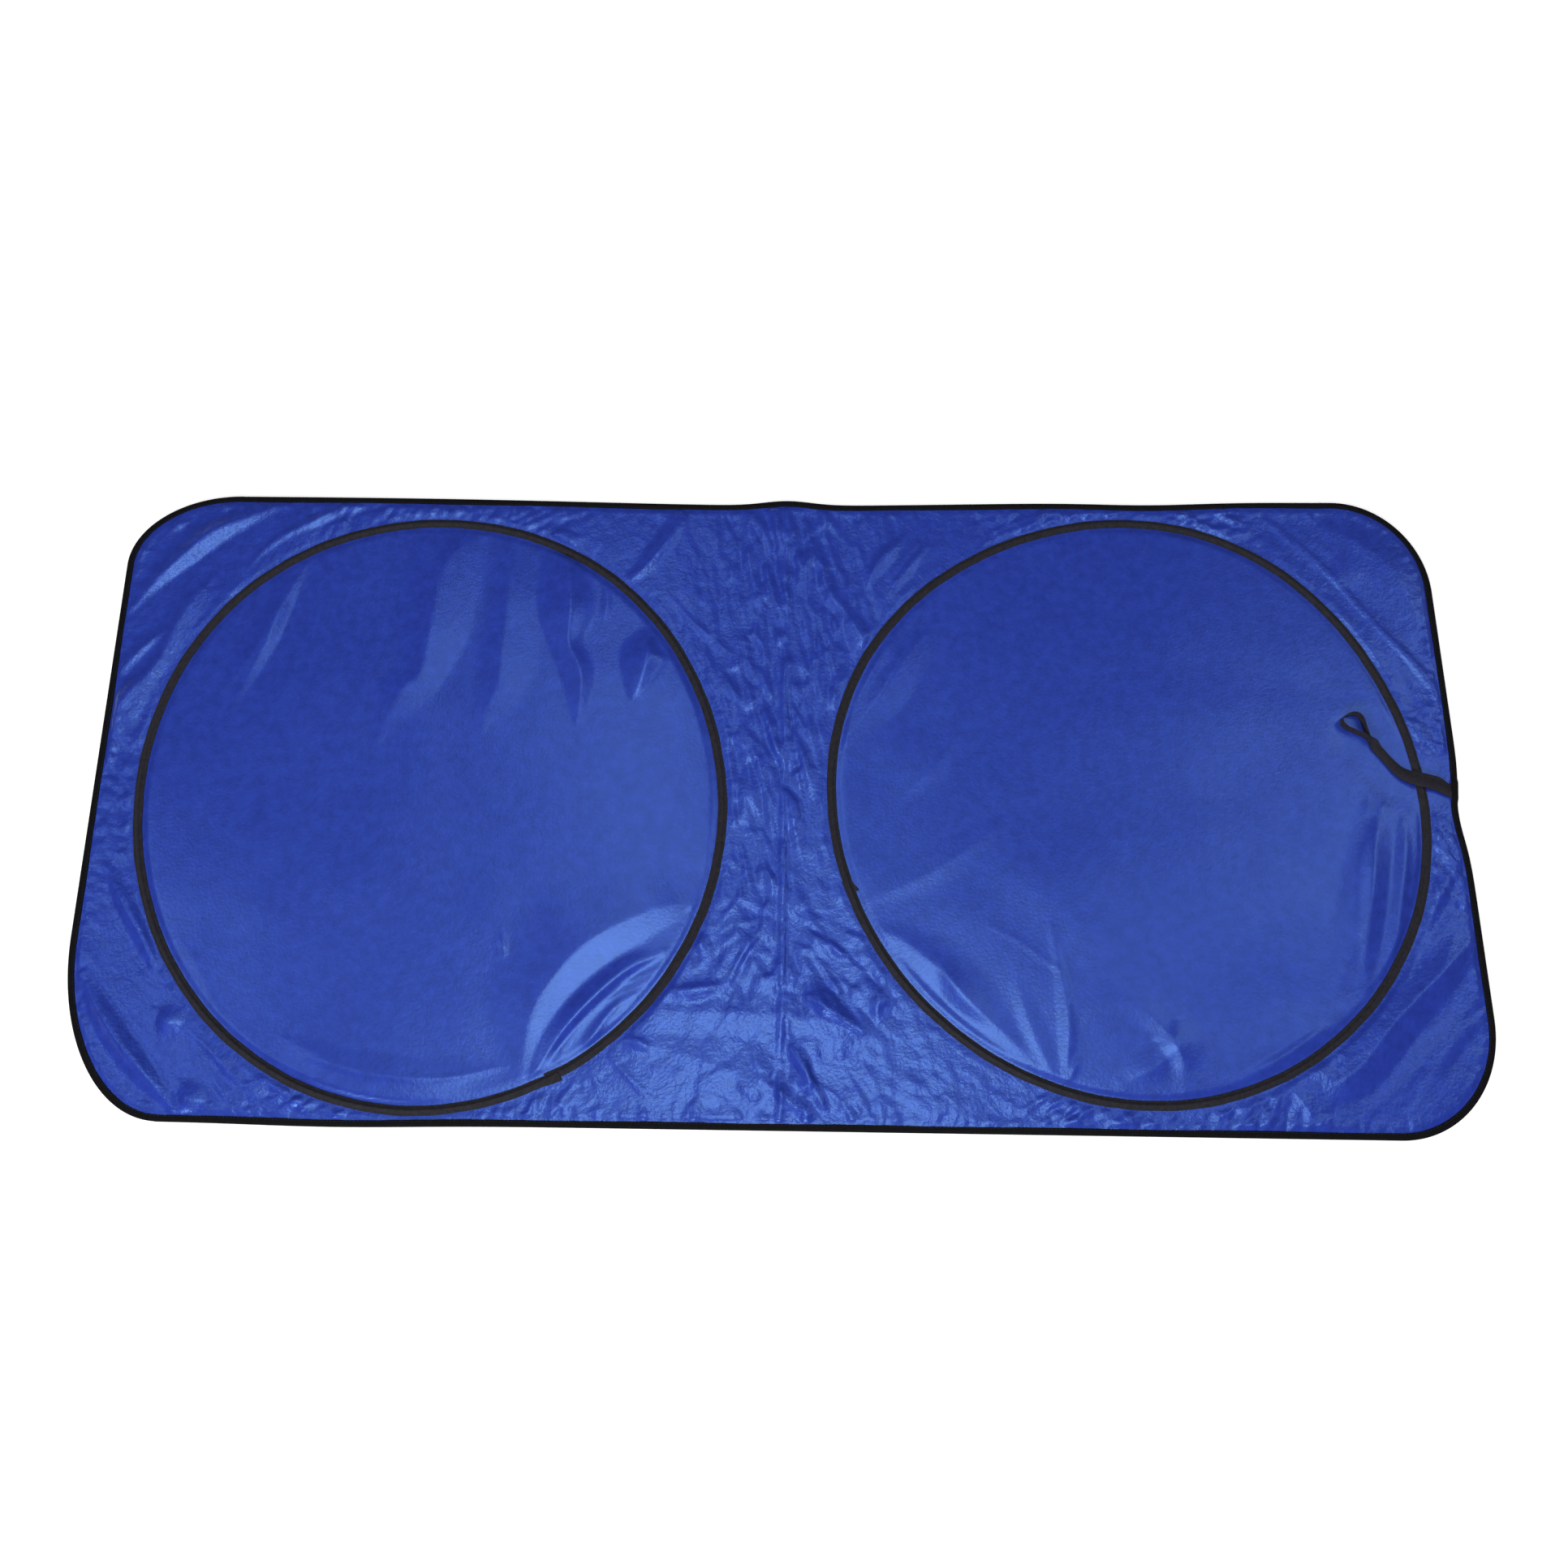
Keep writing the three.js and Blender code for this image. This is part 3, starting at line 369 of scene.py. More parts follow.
# Folds. Each is a band of cloth that slopes one way: its slope, the width of its far flank as a share
# of its own unless that is FAR_SHARE, and points along it with its width there. A band with a slope
# above 0 leans towards a lamp and looks bright, fully so at FULL_SHINE. One below 0 looks dark.
FAR_SHARE = 0.9
FULL_SHINE, MOST_SHINE = 0.32, 1.1
LEAST_LEAN, MOST_LEAN = 0.08, 0.45
FIRST_END, LAST_END = 0.04, 0.96
FOLDS = [
    # Upper left
    (0.52, 1.7, [(-716, 198, 4), (-677, 246, 12), (-631, 289, 17), (-597, 311, 11), (-557, 334, 5)]),
    (0.48, 1.6, [(-591, 254, 3), (-563, 286, 5), (-520, 311, 8), (-491, 329, 7), (-469, 333, 4)]),
    (0.38, 0.8, [(-711, 23, 8), (-694, 89, 24), (-669, 137, 15), (-640, 211, 22), (-626, 223, 10)]),
    (0.34, 1.6, [(-713, 123, 4), (-697, 149, 7), (-666, 183, 4)]),
    (0.32, 1.0, [(-683, 297, 5), (-674, 305, 8), (-666, 311, 5)]),
    (0.32, 1.0, [(-711, 263, 5), (-706, 277, 6)]),
    (0.32, 1.0, [(-631, 323, 5), (-620, 331, 5)]),
    (0.32, 1.0, [(-634, 231, 5), (-626, 243, 6)]),
    # Upper right
    (0.42, [(451, 331, 6), (483, 314, 5), (511, 299, 3)]),
    (0.42, [(491, 334, 5), (503, 327, 7), (517, 320, 5)]),
    (0.50, 0.7, [(517, 337, 5), (537, 311, 10), (580, 268, 13), (637, 191, 16), (666, 143, 18),
                 (680, 89, 16), (690, 40, 6)]),
    (0.30, 1.0, [(537, 334, 4), (557, 314, 4), (591, 274, 4)]),
    (-0.40, 0.8, [(557, 326, 5), (611, 266, 6), (654, 206, 6), (680, 174, 8), (709, 137, 11),
                  (720, 111, 8)]),
    (-0.25, 1.0, [(663, 166, 4), (683, 137, 5), (709, 74, 5), (714, 57, 4)]),
    (0.10, 1.4, [(596, 322, 12), (656, 262, 44), (702, 184, 18)]),
    (-0.12, 1.0, [(650, 250, 14), (640, 269, 24), (628, 288, 12)]),
    (0.30, 1.0, [(585, 340, 4), (597, 328, 5)]),
    (0.30, 1.0, [(671, 326, 4), (694, 306, 5)]),
    (0.30, 1.0, [(709, 266, 4), (714, 254, 5)]),
    (0.25, 1.0, [(700, 100, 4), (704, 60, 5), (706, 34, 4)]),
    # Lower left
    (-0.55, 1.2, [(-691, -89, 6), (-666, -124, 11), (-641, -163, 9), (-626, -197, 5)]),
    (-0.60, 1.2, [(-697, -200, 7), (-679, -226, 12), (-655, -255, 14), (-626, -289, 13), (-586, -334, 6)]),
    (0.22, 1.0, [(-688, -200, 4), (-643, -252, 5), (-612, -284, 5), (-580, -317, 4)]),
    (-0.30, 1.6, [(-618, -236, 8), (-606, -240, 18), (-592, -244, 8)]),
    (-0.30, 1.6, [(-585, -308, 8), (-571, -317, 18), (-558, -325, 8)]),
    (-0.32, [(-591, -251, 4), (-557, -277, 6), (-529, -303, 6), (-506, -317, 4)]),
    (-0.36, [(-494, -309, 4), (-466, -331, 5), (-451, -343, 4)]),
    (-0.30, [(-557, -303, 5), (-534, -334, 5)]),
    (0.42, [(-711, -137, 4), (-700, -148, 5), (-691, -157, 4)]),
    (0.42, [(-709, -179, 5), (-698, -187, 9), (-687, -197, 5)]),
    # Lower right
    (0.38, [(700, -66, 6), (689, -86, 9), (680, -100, 6)]),
    (-0.36, 1.5, [(711, -74, 8), (691, -109, 10), (674, -137, 7)]),
    (0.34, 1.0, [(717, -94, 10), (697, -123, 20), (669, -177, 18), (654, -200, 10)]),
    (-0.32, 1.5, [(720, -154, 14), (680, -197, 20), (637, -240, 26), (597, -286, 26), (563, -303, 20),
                  (540, -286, 12)]),
    (0.30, [(714, -194, 14), (669, -243, 14), (611, -300, 16), (591, -317, 10)]),
    (-0.14, 1.6, [(714, -229, 8), (683, -263, 12), (660, -290, 8)]),
    (0.34, 1.0, [(711, -230, 5), (704, -238, 6)]),
    # Between the hoops, above the knot
    (-0.32, 0.8, [(-117, 333, 10), (-119, 318, 16), (-135, 290, 17), (-155, 262, 13), (-170, 246, 8)]),
    (-0.32, [(-125, 235, 4), (-98, 203, 5), (-62, 172, 8), (-48, 158, 5)]),
    (-0.32, [(-25, 210, 5), (0, 183, 5), (20, 140, 5)]),
    (0.32, 1.0, [(14, 149, 5), (28, 129, 5)]),
    (-0.30, [(-77, 160, 4), (-63, 131, 6), (-54, 103, 6), (-47, 71, 4)]),
    (-0.28, [(-63, 143, 5), (-40, 111, 8), (-26, 97, 5)]),
    (-0.28, [(-40, 120, 4), (-11, 89, 6), (3, 51, 6), (9, 17, 4)]),
    (-0.25, [(-31, 66, 4), (-11, 49, 5), (0, 17, 4)]),
    (-0.30, [(2, 335, 17), (4, 310, 14), (6, 285, 8), (7, 200, 5)]),
    (-0.30, [(31, 288, 6), (31, 272, 13), (31, 256, 6)]),
    (-0.34, [(52, 275, 10), (62, 235, 14), (76, 215, 10), (100, 180, 18)]),
    (0.25, [(60, 205, 8), (75, 184, 24), (92, 165, 8)]),
    (-0.30, [(51, 188, 4), (63, 168, 5), (80, 160, 4)]),
    (0.32, [(103, 245, 6), (120, 270, 15), (140, 297, 8)]),
    (-0.32, [(120, 251, 5), (151, 294, 6)]),
    (0.32, [(123, 226, 5), (145, 258, 10), (168, 289, 6)]),
    (-0.34, [(34, 283, 4), (34, 245, 6), (34, 211, 4)]),
    (0.32, [(44, 257, 5), (44, 208, 6)]),
    (-0.30, [(48, 206, 4), (48, 103, 4)]),
    (-0.32, [(17, 89, 4), (31, 46, 8), (37, 0, 5)]),
    (0.45, [(228, 291, 4), (248, 303, 5)]),
    (0.45, [(251, 304, 5), (294, 320, 6)]),
    # Between the hoops, below it
    (-0.32, [(-47, -14, 3), (-24, -40, 3)]),
    (-0.32, [(-46, -26, 3), (-31, -63, 4)]),
    (-0.34, [(-14, -69, 4), (0, -94, 5), (9, -114, 5)]),
    (-0.30, [(-33, -100, 4), (-37, -120, 5), (-57, -143, 4)]),
    (0.30, [(-40, -144, 5), (-29, -143, 8), (-18, -141, 5)]),
    (-0.38, [(-3, -140, 5), (-26, -171, 7), (-40, -197, 6)]),
    (-0.28, [(-76, -148, 6), (-71, -160, 14), (-66, -172, 6)]),
    (-0.32, [(-83, -177, 4), (-94, -197, 6)]),
    (-0.34, [(-105, -217, 10), (-75, -216, 14), (-48, -207, 8)]),
    (-0.30, [(-123, -229, 4), (-106, -211, 5)]),
    (0.28, 1.4, [(-131, -246, 14), (-100, -244, 22), (0, -246, 24), (60, -252, 20), (108, -264, 14),
                 (129, -286, 6)]),
    (0.32, 1.6, [(-143, -266, 8), (-94, -280, 12), (-51, -294, 14), (-23, -309, 14), (0, -329, 8)]),
    (-0.28, [(-148, -262, 6), (-135, -268, 10), (-122, -272, 6)]),
    (-0.34, [(-166, -274, 4), (-149, -294, 5), (-124, -318, 4)]),
    (-0.32, [(-183, -286, 4), (-174, -309, 5)]),
    (-0.34, [(-197, -300, 5), (-211, -323, 6)]),
    (-0.32, [(-186, -334, 4), (-166, -326, 5)]),
    (-0.32, [(11, -106, 3), (23, -129, 4), (46, -143, 4)]),
    (-0.40, 0.7, [(40, -208, 14), (60, -222, 17), (77, -236, 11), (97, -254, 4)]),
    (-0.32, [(74, -217, 4), (106, -249, 5)]),
    (-0.24, [(113, -203, 8), (114, -225, 14), (108, -243, 8)]),
    (0.40, [(128, -206, 3), (152, -229, 4), (208, -280, 4), (266, -306, 3)]),
    (-0.40, 0.7, [(14, -263, 4), (30, -292, 10), (45, -318, 9), (57, -334, 5)]),
    (-0.32, [(-14, -294, 6), (17, -311, 12), (43, -334, 6)]),
    (0.40, [(40, -297, 5), (66, -320, 6), (80, -337, 5)]),
    (-0.34, [(51, -300, 4), (74, -323, 5), (89, -340, 4)]),
    (0.38, [(60, -297, 4), (100, -335, 5)]),
    (-0.32, [(63, -277, 4), (80, -303, 5), (100, -337, 4)]),
    (0.36, [(57, -200, 5), (75, -207, 8), (91, -214, 5)]),
    (0.34, [(24, -170, 6), (38, -172, 9)]),
    (0.34, [(18, -196, 6), (34, -200, 6)]),
    (0.34, [(38, -157, 5), (56, -156, 6)]),
    # In the left hoop
    (0.32, 1.6, [(-523, 266, 6), (-540, 211, 11), (-554, 160, 12), (-569, 126, 10), (-584, 90, 6)]),
    (-0.14, 1.0, [(-545, 262, 6), (-562, 205, 18), (-580, 160, 18), (-600, 115, 10)]),
    (0.30, 1.0, [(-332, 290, 20), (-350, 255, 44), (-359, 185, 44), (-375, 125, 28), (-396, 100, 28),
                 (-420, 58, 12)]),
    (0.30, [(-287, 295, 20), (-283, 200, 32), (-281, 160, 40), (-285, 120, 34), (-305, 80, 20)]),
    (-0.22, 0.8, [(-252, 287, 26), (-246, 215, 38), (-238, 165, 22), (-223, 130, 22), (-217, 85, 10)]),
    (-0.16, [(-193, 240, 5), (-192, 212, 8), (-192, 198, 4)]),
    (-0.26, 0.8, [(-142, 188, 6), (-155, 160, 32), (-157, 125, 20), (-158, 103, 6)]),
    (0.20, [(-389, 298, 10), (-389, 280, 18), (-390, 262, 8)]),
    (0.30, 2.4, [(-94, -129, 16), (-123, -140, 26), (-175, -172, 33), (-211, -209, 30), (-232, -245, 24),
                 (-246, -300, 8)]),
    (-0.34, 0.6, [(-117, -169, 10), (-151, -183, 16), (-190, -216, 18), (-220, -254, 15), (-240, -297, 6)]),
    (0.36, [(-111, -189, 4), (-163, -214, 5), (-203, -251, 5), (-226, -289, 4)]),
    (0.36, [(-114, -197, 4), (-169, -226, 5), (-203, -266, 5), (-214, -289, 4)]),
    (-0.32, [(-137, -211, 4), (-163, -229, 6), (-186, -263, 6), (-189, -273, 4)]),
    (0.22, 2.0, [(-483, -263, 8), (-426, -281, 14), (-340, -292, 18), (-286, -288, 8)]),
    (-0.22, [(-466, -283, 4), (-397, -301, 5), (-323, -303, 5), (-266, -290, 4)]),
    (0.20, [(-629, -149, 4), (-589, -191, 6), (-557, -246, 5)]),
    (0.20, [(-276, -155, 5), (-273, -172, 7)]),
    (0.12, [(-254, -169, 3), (-297, -186, 3)]),
    # In the right hoop
    (0.22, [(90, 108, 3), (107, 142, 5), (121, 171, 3)]),
    (0.20, [(114, 146, 5), (130, 172, 7), (149, 200, 5)]),
    (0.16, [(83, 60, 14), (123, 103, 28), (151, 149, 30), (174, 189, 14)]),
    (0.15, [(123, 0, 14), (157, 40, 28), (191, 86, 14)]),
    (0.14, [(98, -108, 14), (160, -72, 26), (232, -28, 14)]),
    (0.22, [(414, 306, 5), (406, 283, 7)]),
    (0.32, 1.6, [(106, -149, 8), (129, -163, 14), (157, -189, 20), (186, -217, 20), (217, -246, 16),
                 (254, -277, 8)]),
    (-0.26, 0.7, [(114, -166, 6), (140, -194, 10), (194, -246, 10), (254, -286, 5)]),
    (-0.12, [(174, -177, 10), (197, -206, 20), (223, -237, 10)]),
    (0.20, [(217, -140, 3), (249, -157, 4), (280, -180, 4), (306, -197, 3)]),
    (0.13, [(286, -297, 8), (268, -245, 16), (251, -200, 8)]),
    (0.14, [(290, -297, 6), (292, -230, 12), (283, -143, 6)]),
    (-0.26, [(298, -296, 4), (306, -280, 7)]),
    (0.16, 1.4, [(300, -272, 8), (322, -243, 18), (349, -229, 20), (377, -237, 18), (398, -266, 16),
                 (406, -303, 8)]),
    (0.12, [(350, -290, 14), (377, -271, 24), (400, -262, 10)]),
    (-0.16, [(369, -253, 4), (386, -253, 4)]),
    (-0.10, [(415, -232, 14), (420, -255, 32), (424, -285, 14)]),
    (0.14, 1.4, [(454, -297, 12), (477, -257, 26), (520, -235, 38), (560, -222, 20)]),
    (-0.22, [(474, -291, 6), (511, -274, 8), (557, -243, 6)]),
    (-0.17, 0.8, [(643, -14, 12), (634, -57, 20), (626, -100, 20), (606, -194, 14)]),
    (0.19, 0.8, [(656, -29, 10), (648, -71, 14), (628, -157, 14), (612, -196, 10)]),
    (0.08, 1.4, [(618, -20, 20), (600, -100, 32), (576, -176, 20)]),
    # In the narrow strips
    (-0.18, [(523, -300, 10), (546, -337, 14)]),
    (0.36, [(480, -309, 5), (460, -334, 5)]),
    (0.34, [(363, -326, 4), (380, -340, 4)]),
]


def mirror_lean(places, light_place):
    """Slope in X and Y with which cloth at each place mirrors a light to the camera."""
    places = np.column_stack([places, np.zeros(len(places))])
    halfway = np.zeros(places.shape)
    for target in (CAMERA_PLACE, light_place):
        ray = target - places
        halfway += ray / np.linalg.norm(ray, axis=1, keepdims=True)
    return halfway[:, :2] / halfway[:, 2:]


def best_lean(line):
    """Lean across a line, to its left, that comes nearest to mirroring one of the lamps."""
    along = np.gradient(line, axis=0)
    to_left = np.stack([-along[:, 1], along[:, 0]], axis=1)
    to_left /= np.linalg.norm(to_left, axis=1, keepdims=True)
    leans = []
    for light_place in (SOFTBOX_PLACE, SMALL_BOX_PLACE, LEFT_FILL_PLACE, RIGHT_FILL_PLACE):
        wanted = mirror_lean(line, light_place)
        lean = (wanted * to_left).sum(axis=1)
        missed = np.linalg.norm(wanted - lean[:, None] * to_left, axis=1).mean()
        leans.append((missed, lean))
    return min(leans, key=lambda entry: entry[0])[1]


def band_relief():
    """All the folds: each band rises over its own width, and its far flank comes down again."""
    relief = np.zeros(X.shape)
    for slope, *given_share, points in FOLDS:
        far_share = given_share[0] if given_share else FAR_SHARE
        line = spline(points)
        lean = best_lean(line[:, :2])
        light_side = 1 if lean.mean() > 0 else -1
        high_side = -light_side * np.sign(slope)
        if slope > 0:
            shine = min(slope / FULL_SHINE, MOST_SHINE)
            slopes = np.clip(light_side * lean, LEAST_LEAN, MOST_LEAN) * shine
        else:
            slopes = np.full(len(line), -slope)
        reach = line[:, 2].max() * (0.5 + far_share) + CELL
        distance, side, share = line_field(line[:, :2], reach)
        walked = np.linspace(0, 1, len(line))
        width = np.interp(share, walked, line[:, 2])
        height = np.interp(share, walked, slopes) * width
        across = np.where(np.isinf(distance), reach, distance) * side * high_side
        rise = np.clip(across / width + 0.5, 0, 1)
        fall = np.clip((across - width / 2) / (far_share * width), 0, 1)
        fall = fall * (3 - fall * fall) / 2
        ends = np.sqrt(np.clip(np.sin(math.pi * lerp(FIRST_END, LAST_END, share)), 0, 1))
        relief += np.where(np.isinf(distance), 0, height * (rise - fall) * ends)
    return relief


# Crinkles: the knot that they fan out from, the plain band below it, and how far they reach
KNOT_Y = -115
SMOOTH_BAND_Y = -246
MIDDLE_REACH = 85
FAN_X, FAN_REACH = 70, 130
STRIP_NARROW, STRIP_WIDE = 36, 80
EDGE_PUCKER_REACH = 9

# Level of the cloth: the lines beside the crease with their heights, how much of each hollow the floor
# lets through, and the lowest and highest level
CREASE_LINES = [(0, 2.0), (-5, -0.6), (6, -0.6)]
CREASE_LINE_REACH = 3
BLUR_CELLS = 0.55
HOLLOW_SHARE = 0.15
BESIDE_TAPE, BESIDE_BINDING = 7, 6
SEAT_REACH = 12
LOWEST_CLOTH, HIGHEST_CLOTH = 0.1, 12


def crinkle_relief():
    """Small random facets: across the narrow strips, upright at the crease, fanned out below it."""
    relief = np.zeros(X.shape)
    for hoop, angle, gap in zip(HOOPS, HOOP_ANGLE, HOOP_GAP):
        beside = (gap > 0) * ((X < CREASE_X) == (hoop is LEFT))
        around = angle * HOOP_DIAMETER / 2
        slant = (around + 0.7 * gap) / 11
        narrow = 1 - smooth(FROM_EDGE + np.abs(gap), STRIP_NARROW, STRIP_WIDE)
        relief += beside * narrow * 3.2 * facets(slant, gap / 24, 3)
        relief += beside * (0.3 + 0.7 * narrow) * 1.5 * facets(around / 34, gap / 12, 11)
        relief += beside * np.exp(-np.abs(gap) / 12) * 2.0 * facets(around / 9, gap / 18, 17)
    between = smooth(np.minimum(*HOOP_GAP), 0, 16)
    in_middle = between * bell(X - CREASE_X, MIDDLE_REACH)
    above = smooth(Y, -150, -60)
    relief += in_middle * above * 4.2 * facets((X + 0.25 * Y) / 11, Y / 60, 23)
    relief += in_middle * 2.6 * facets(X / 18, Y / 32, 29)
    fan_angle = np.arctan2(Y - KNOT_Y, X - CREASE_X)
    fan_reach = np.hypot(Y - KNOT_Y, X - CREASE_X)
    below = between * bell(X - FAN_X, FAN_REACH) * smooth(KNOT_Y - Y, 0, 40)
    relief += below * smooth(fan_reach, 0, 60) * 3.4 * facets(fan_angle * 7, fan_reach / 60, 31)
    relief += below * 1.5 * facets((X + Y) / 19, (X - Y) / 38, 37)
    relief *= 1 - 0.8 * bell(Y - SMOOTH_BAND_Y, 17) * bell(X + 10, 110)
    at_edge = np.exp(-np.maximum(FROM_EDGE - BINDING_WIDTH, 0) / EDGE_PUCKER_REACH)
    along_edge = EDGE_SHARE * len(OUTLINE) * OUTLINE_SPACING
    relief += OUTSIDE * at_edge * 3.4 * facets(along_edge / 9, FROM_EDGE / 22, 41)
    return relief


def soft_relief():
    """Broad soft swells of the whole sheet."""
    inside = 1 - OUTSIDE
    relief = inside * 1.4 * (swell(X / 150, Y / 110, 5) + 1)
    relief += inside * 0.5 * (swell((X + Y) / 60, (Y - X) / 80, 7) + 1)
    relief += OUTSIDE * 1.2 * (swell(X / 60, Y / 60, 9) + 1)
    return relief


def cloth_level():
    """Height of the cloth at every grid point, in millimetres."""
    crease = sum(height * bell(X - CREASE_X - place, CREASE_LINE_REACH) for place, height in CREASE_LINES)
    relief = blur(band_relief() + crinkle_relief() + soft_relief() + crease * OUTSIDE, BLUR_CELLS)
    relief = np.maximum(relief, 0) + HOLLOW_SHARE * np.minimum(relief, 0)
    from_strap, _, _ = line_field(STRAP_ROUTE[:, :2], STRAP_REACH)
    away_from_strap = smooth(np.minimum(from_strap, STRAP_REACH), STRAP_CLEAR, 2 * STRAP_CLEAR)
    clear_of_tape = smooth(FROM_HOOP, TAPE_WIDTH / 2, TAPE_WIDTH / 2 + BESIDE_TAPE)
    clear_of_edge = smooth(FROM_EDGE, BINDING_WIDTH, BINDING_WIDTH + BESIDE_BINDING)
    free = clear_of_tape * clear_of_edge * away_from_strap
    near_edge = 1 - smooth(FROM_EDGE, BINDING_WIDTH, BINDING_WIDTH + SEAT_REACH)
    seat = lerp(CLOTH_AT_TAPE, CLOTH_AT_EDGE, near_edge * smooth(FROM_HOOP, TAPE_WIDTH / 2, BESIDE_TAPE))
    return np.clip(seat + relief * free, LOWEST_CLOTH, HIGHEST_CLOTH)


# Meshes

def make_object(name, points, faces, material):
    mesh = bpy.data.meshes.new(name)
    mesh.from_pydata([tuple(p) for p in (np.asarray(points) * MM).tolist()], [], faces)
    mesh.validate()
    mesh.polygons.foreach_set("use_smooth", [True] * len(mesh.polygons))
    mesh.update()
    piece = bpy.data.objects.new(name, mesh)
    bpy.context.scene.collection.objects.link(piece)
    piece.data.materials.append(material)
    return piece


def smooth_cells(level, cell_inside):
    """Which cells of twice the size are whole and bend too little to need their middle points."""
    corner = [level[:-1:2, :-1:2], level[:-1:2, 2::2], level[2::2, :-1:2], level[2::2, 2::2]]
    whole = (cell_inside[::2, ::2] & cell_inside[1::2, ::2]
             & cell_inside[::2, 1::2] & cell_inside[1::2, 1::2])
    bends = np.stack([
        level[1::2, 1::2] - sum(corner) / 4,
        level[:-1:2, 1::2] - (corner[0] + corner[1]) / 2,
        level[2::2, 1::2] - (corner[2] + corner[3]) / 2,
        level[1::2, :-1:2] - (corner[0] + corner[2]) / 2,
        level[1::2, 2::2] - (corner[1] + corner[3]) / 2,
    ])
    return whole & (np.abs(bends).max(axis=0) < FLAT_ENOUGH)


def coarse_faces(coarse, index):
    """Faces of the larger cells, with a middle point on each side that meets smaller ones."""
    faces = []
    for row, column in zip(*np.nonzero(coarse)):
        r, c = 2 * row, 2 * column
        corners = [(r, c), (r, c + 2), (r + 2, c + 2), (r + 2, c)]
        middles = [(r, c + 1), (r + 1, c + 2), (r + 2, c + 1), (r + 1, c)]
        beside = [(row - 1, column), (row, column + 1), (row + 1, column), (row, column - 1)]
        face = []
        for corner, middle, (next_row, next_column) in zip(corners, middles, beside):
            face.append(int(index[corner]))
            if not coarse[next_row % coarse.shape[0], next_column % coarse.shape[1]]:
                face.append(int(index[middle]))
        faces.append(face)
    return faces


def plan_drawn_to_edge(cell_inside):
    """Plan of the grid, with the points on the rim of the cloth moved to its edge."""
    x, y = X.copy(), Y.copy()
    rows, columns = cell_inside.shape
    touching = np.zeros(X.shape, int)
    for step_row in (0, 1):
        for step_column in (0, 1):
            touching[step_row:rows + step_row, step_column:columns + step_column] += cell_inside
    for row, column in zip(*np.nonzero((touching > 0) & (touching < 4))):
        point = np.array([X[row, column], Y[row, column]])
        away = OUTLINE[np.argmin(((OUTLINE - point) ** 2).sum(axis=1))] - point
        shift = away / max(np.linalg.norm(away), 1e-6) * (FROM_EDGE[row, column] - EDGE_INSET)
        x[row, column] += shift[0]
        y[row, column] += shift[1]
    return x, y


def cloth_mesh(material):
    level = cloth_level()
    inside = FROM_EDGE > EDGE_INSET
    cell_inside = inside[:-1, :-1] & inside[1:, :-1] & inside[:-1, 1:] & inside[1:, 1:]
    coarse = smooth_cells(level, cell_inside)
    is_coarse = np.repeat(np.repeat(coarse, 2, axis=0), 2, axis=1)
    index = np.arange(X.size).reshape(X.shape)
    rows, columns = np.nonzero(cell_inside & ~is_coarse)
    quads = np.stack([index[rows, columns], index[rows, columns + 1],
                      index[rows + 1, columns + 1], index[rows + 1, columns]], axis=1)
    faces = quads.tolist() + coarse_faces(coarse, index)
    points = np.stack([*plan_drawn_to_edge(cell_inside), level], axis=2).reshape(-1, 3)
    used = np.unique(np.concatenate([np.array(face) for face in faces]))
    renumber = np.full(X.size, -1)
    renumber[used] = np.arange(len(used))
    faces = [[int(renumber[corner]) for corner in face] for face in faces]
    piece = make_object("cloth", points[used], faces, material)
    slack = piece.data.attributes.new("slack", "FLOAT", "POINT")
    slack.data.foreach_set("value", OUTSIDE.reshape(-1)[used])
    return piece


def tube_faces(count, size, closed):
    """Faces of a section with so many points, carried through so many stations."""
    faces = []
    for station in range(count if closed else count - 1):
        following = (station + 1) % count
        for corner in range(size):
            after = (corner + 1) % size
            faces.append([station * size + corner, following * size + corner,
                          following * size + after, station * size + after])
    if not closed:
        faces.append(list(range(size)))
        faces.append([(count - 1) * size + corner for corner in reversed(range(size))])
    return faces


def walked_along(line):
    """How far along a line each of its points is."""
    return np.concatenate([[0], np.cumsum(np.linalg.norm(np.diff(line, axis=0), axis=1))])


def sweep(stations, sections, closed=True):
    """Points and faces of a section carried along a line. Sections are lists of (across, height)."""
    points = np.array([
        [x + nx * across, y + ny * across, height]
        for (x, y, nx, ny), section in zip(stations, sections)
        for across, height in section
    ])
    return points, tube_faces(len(stations), len(sections[0]), closed)


def hoop_stations(hoop, count, start, reach, offset=0.0):
    angle = np.linspace(start, start + reach, count)
    radius = hoop_radius(hoop["lobes"], angle) + offset
    x = hoop["x"] + radius * np.cos(angle)
    y = hoop["y"] + radius * np.sin(angle)
    return np.stack([x, y, np.cos(angle), np.sin(angle)], axis=1), angle


TAPE_STATIONS = 900
TAPE_SHARES = (1, 0.84, 0.62, 0.42, 0.24, 0.1, -0.1, -0.24, -0.42, -0.62, -0.84, -1)
TAPE_EDGE = 0.45
TAPE_DROOP = 0.25
TAPE_RIDGE = 2.3
TAPE_RIDGE_WIDTH = 2.0
FERRULE_RIDGE = 0.75

# The ends of each tape: how far they lap, and how far each end strays outwards, over what length
TAPE_LAP = 7
TAPE_LAP_RISE = 0.5
TAPE_ENDS = {
    "left": {"first": -1.8, "last": 3.0, "reach": 26},
    "right": {"first": 0.4, "last": -3.4, "reach": 12},
}


def tape_top(across, half, ridge, strayed):
    """Height of the tape, with its ridge over the wire even where the band strays from it."""
    flat = TAPE_BASE + TAPE_EDGE
    droop = TAPE_DROOP * smooth(abs(across), half - 0.8, half)
    return float(flat + ridge * bell(across + strayed, TAPE_RIDGE_WIDTH) - droop)


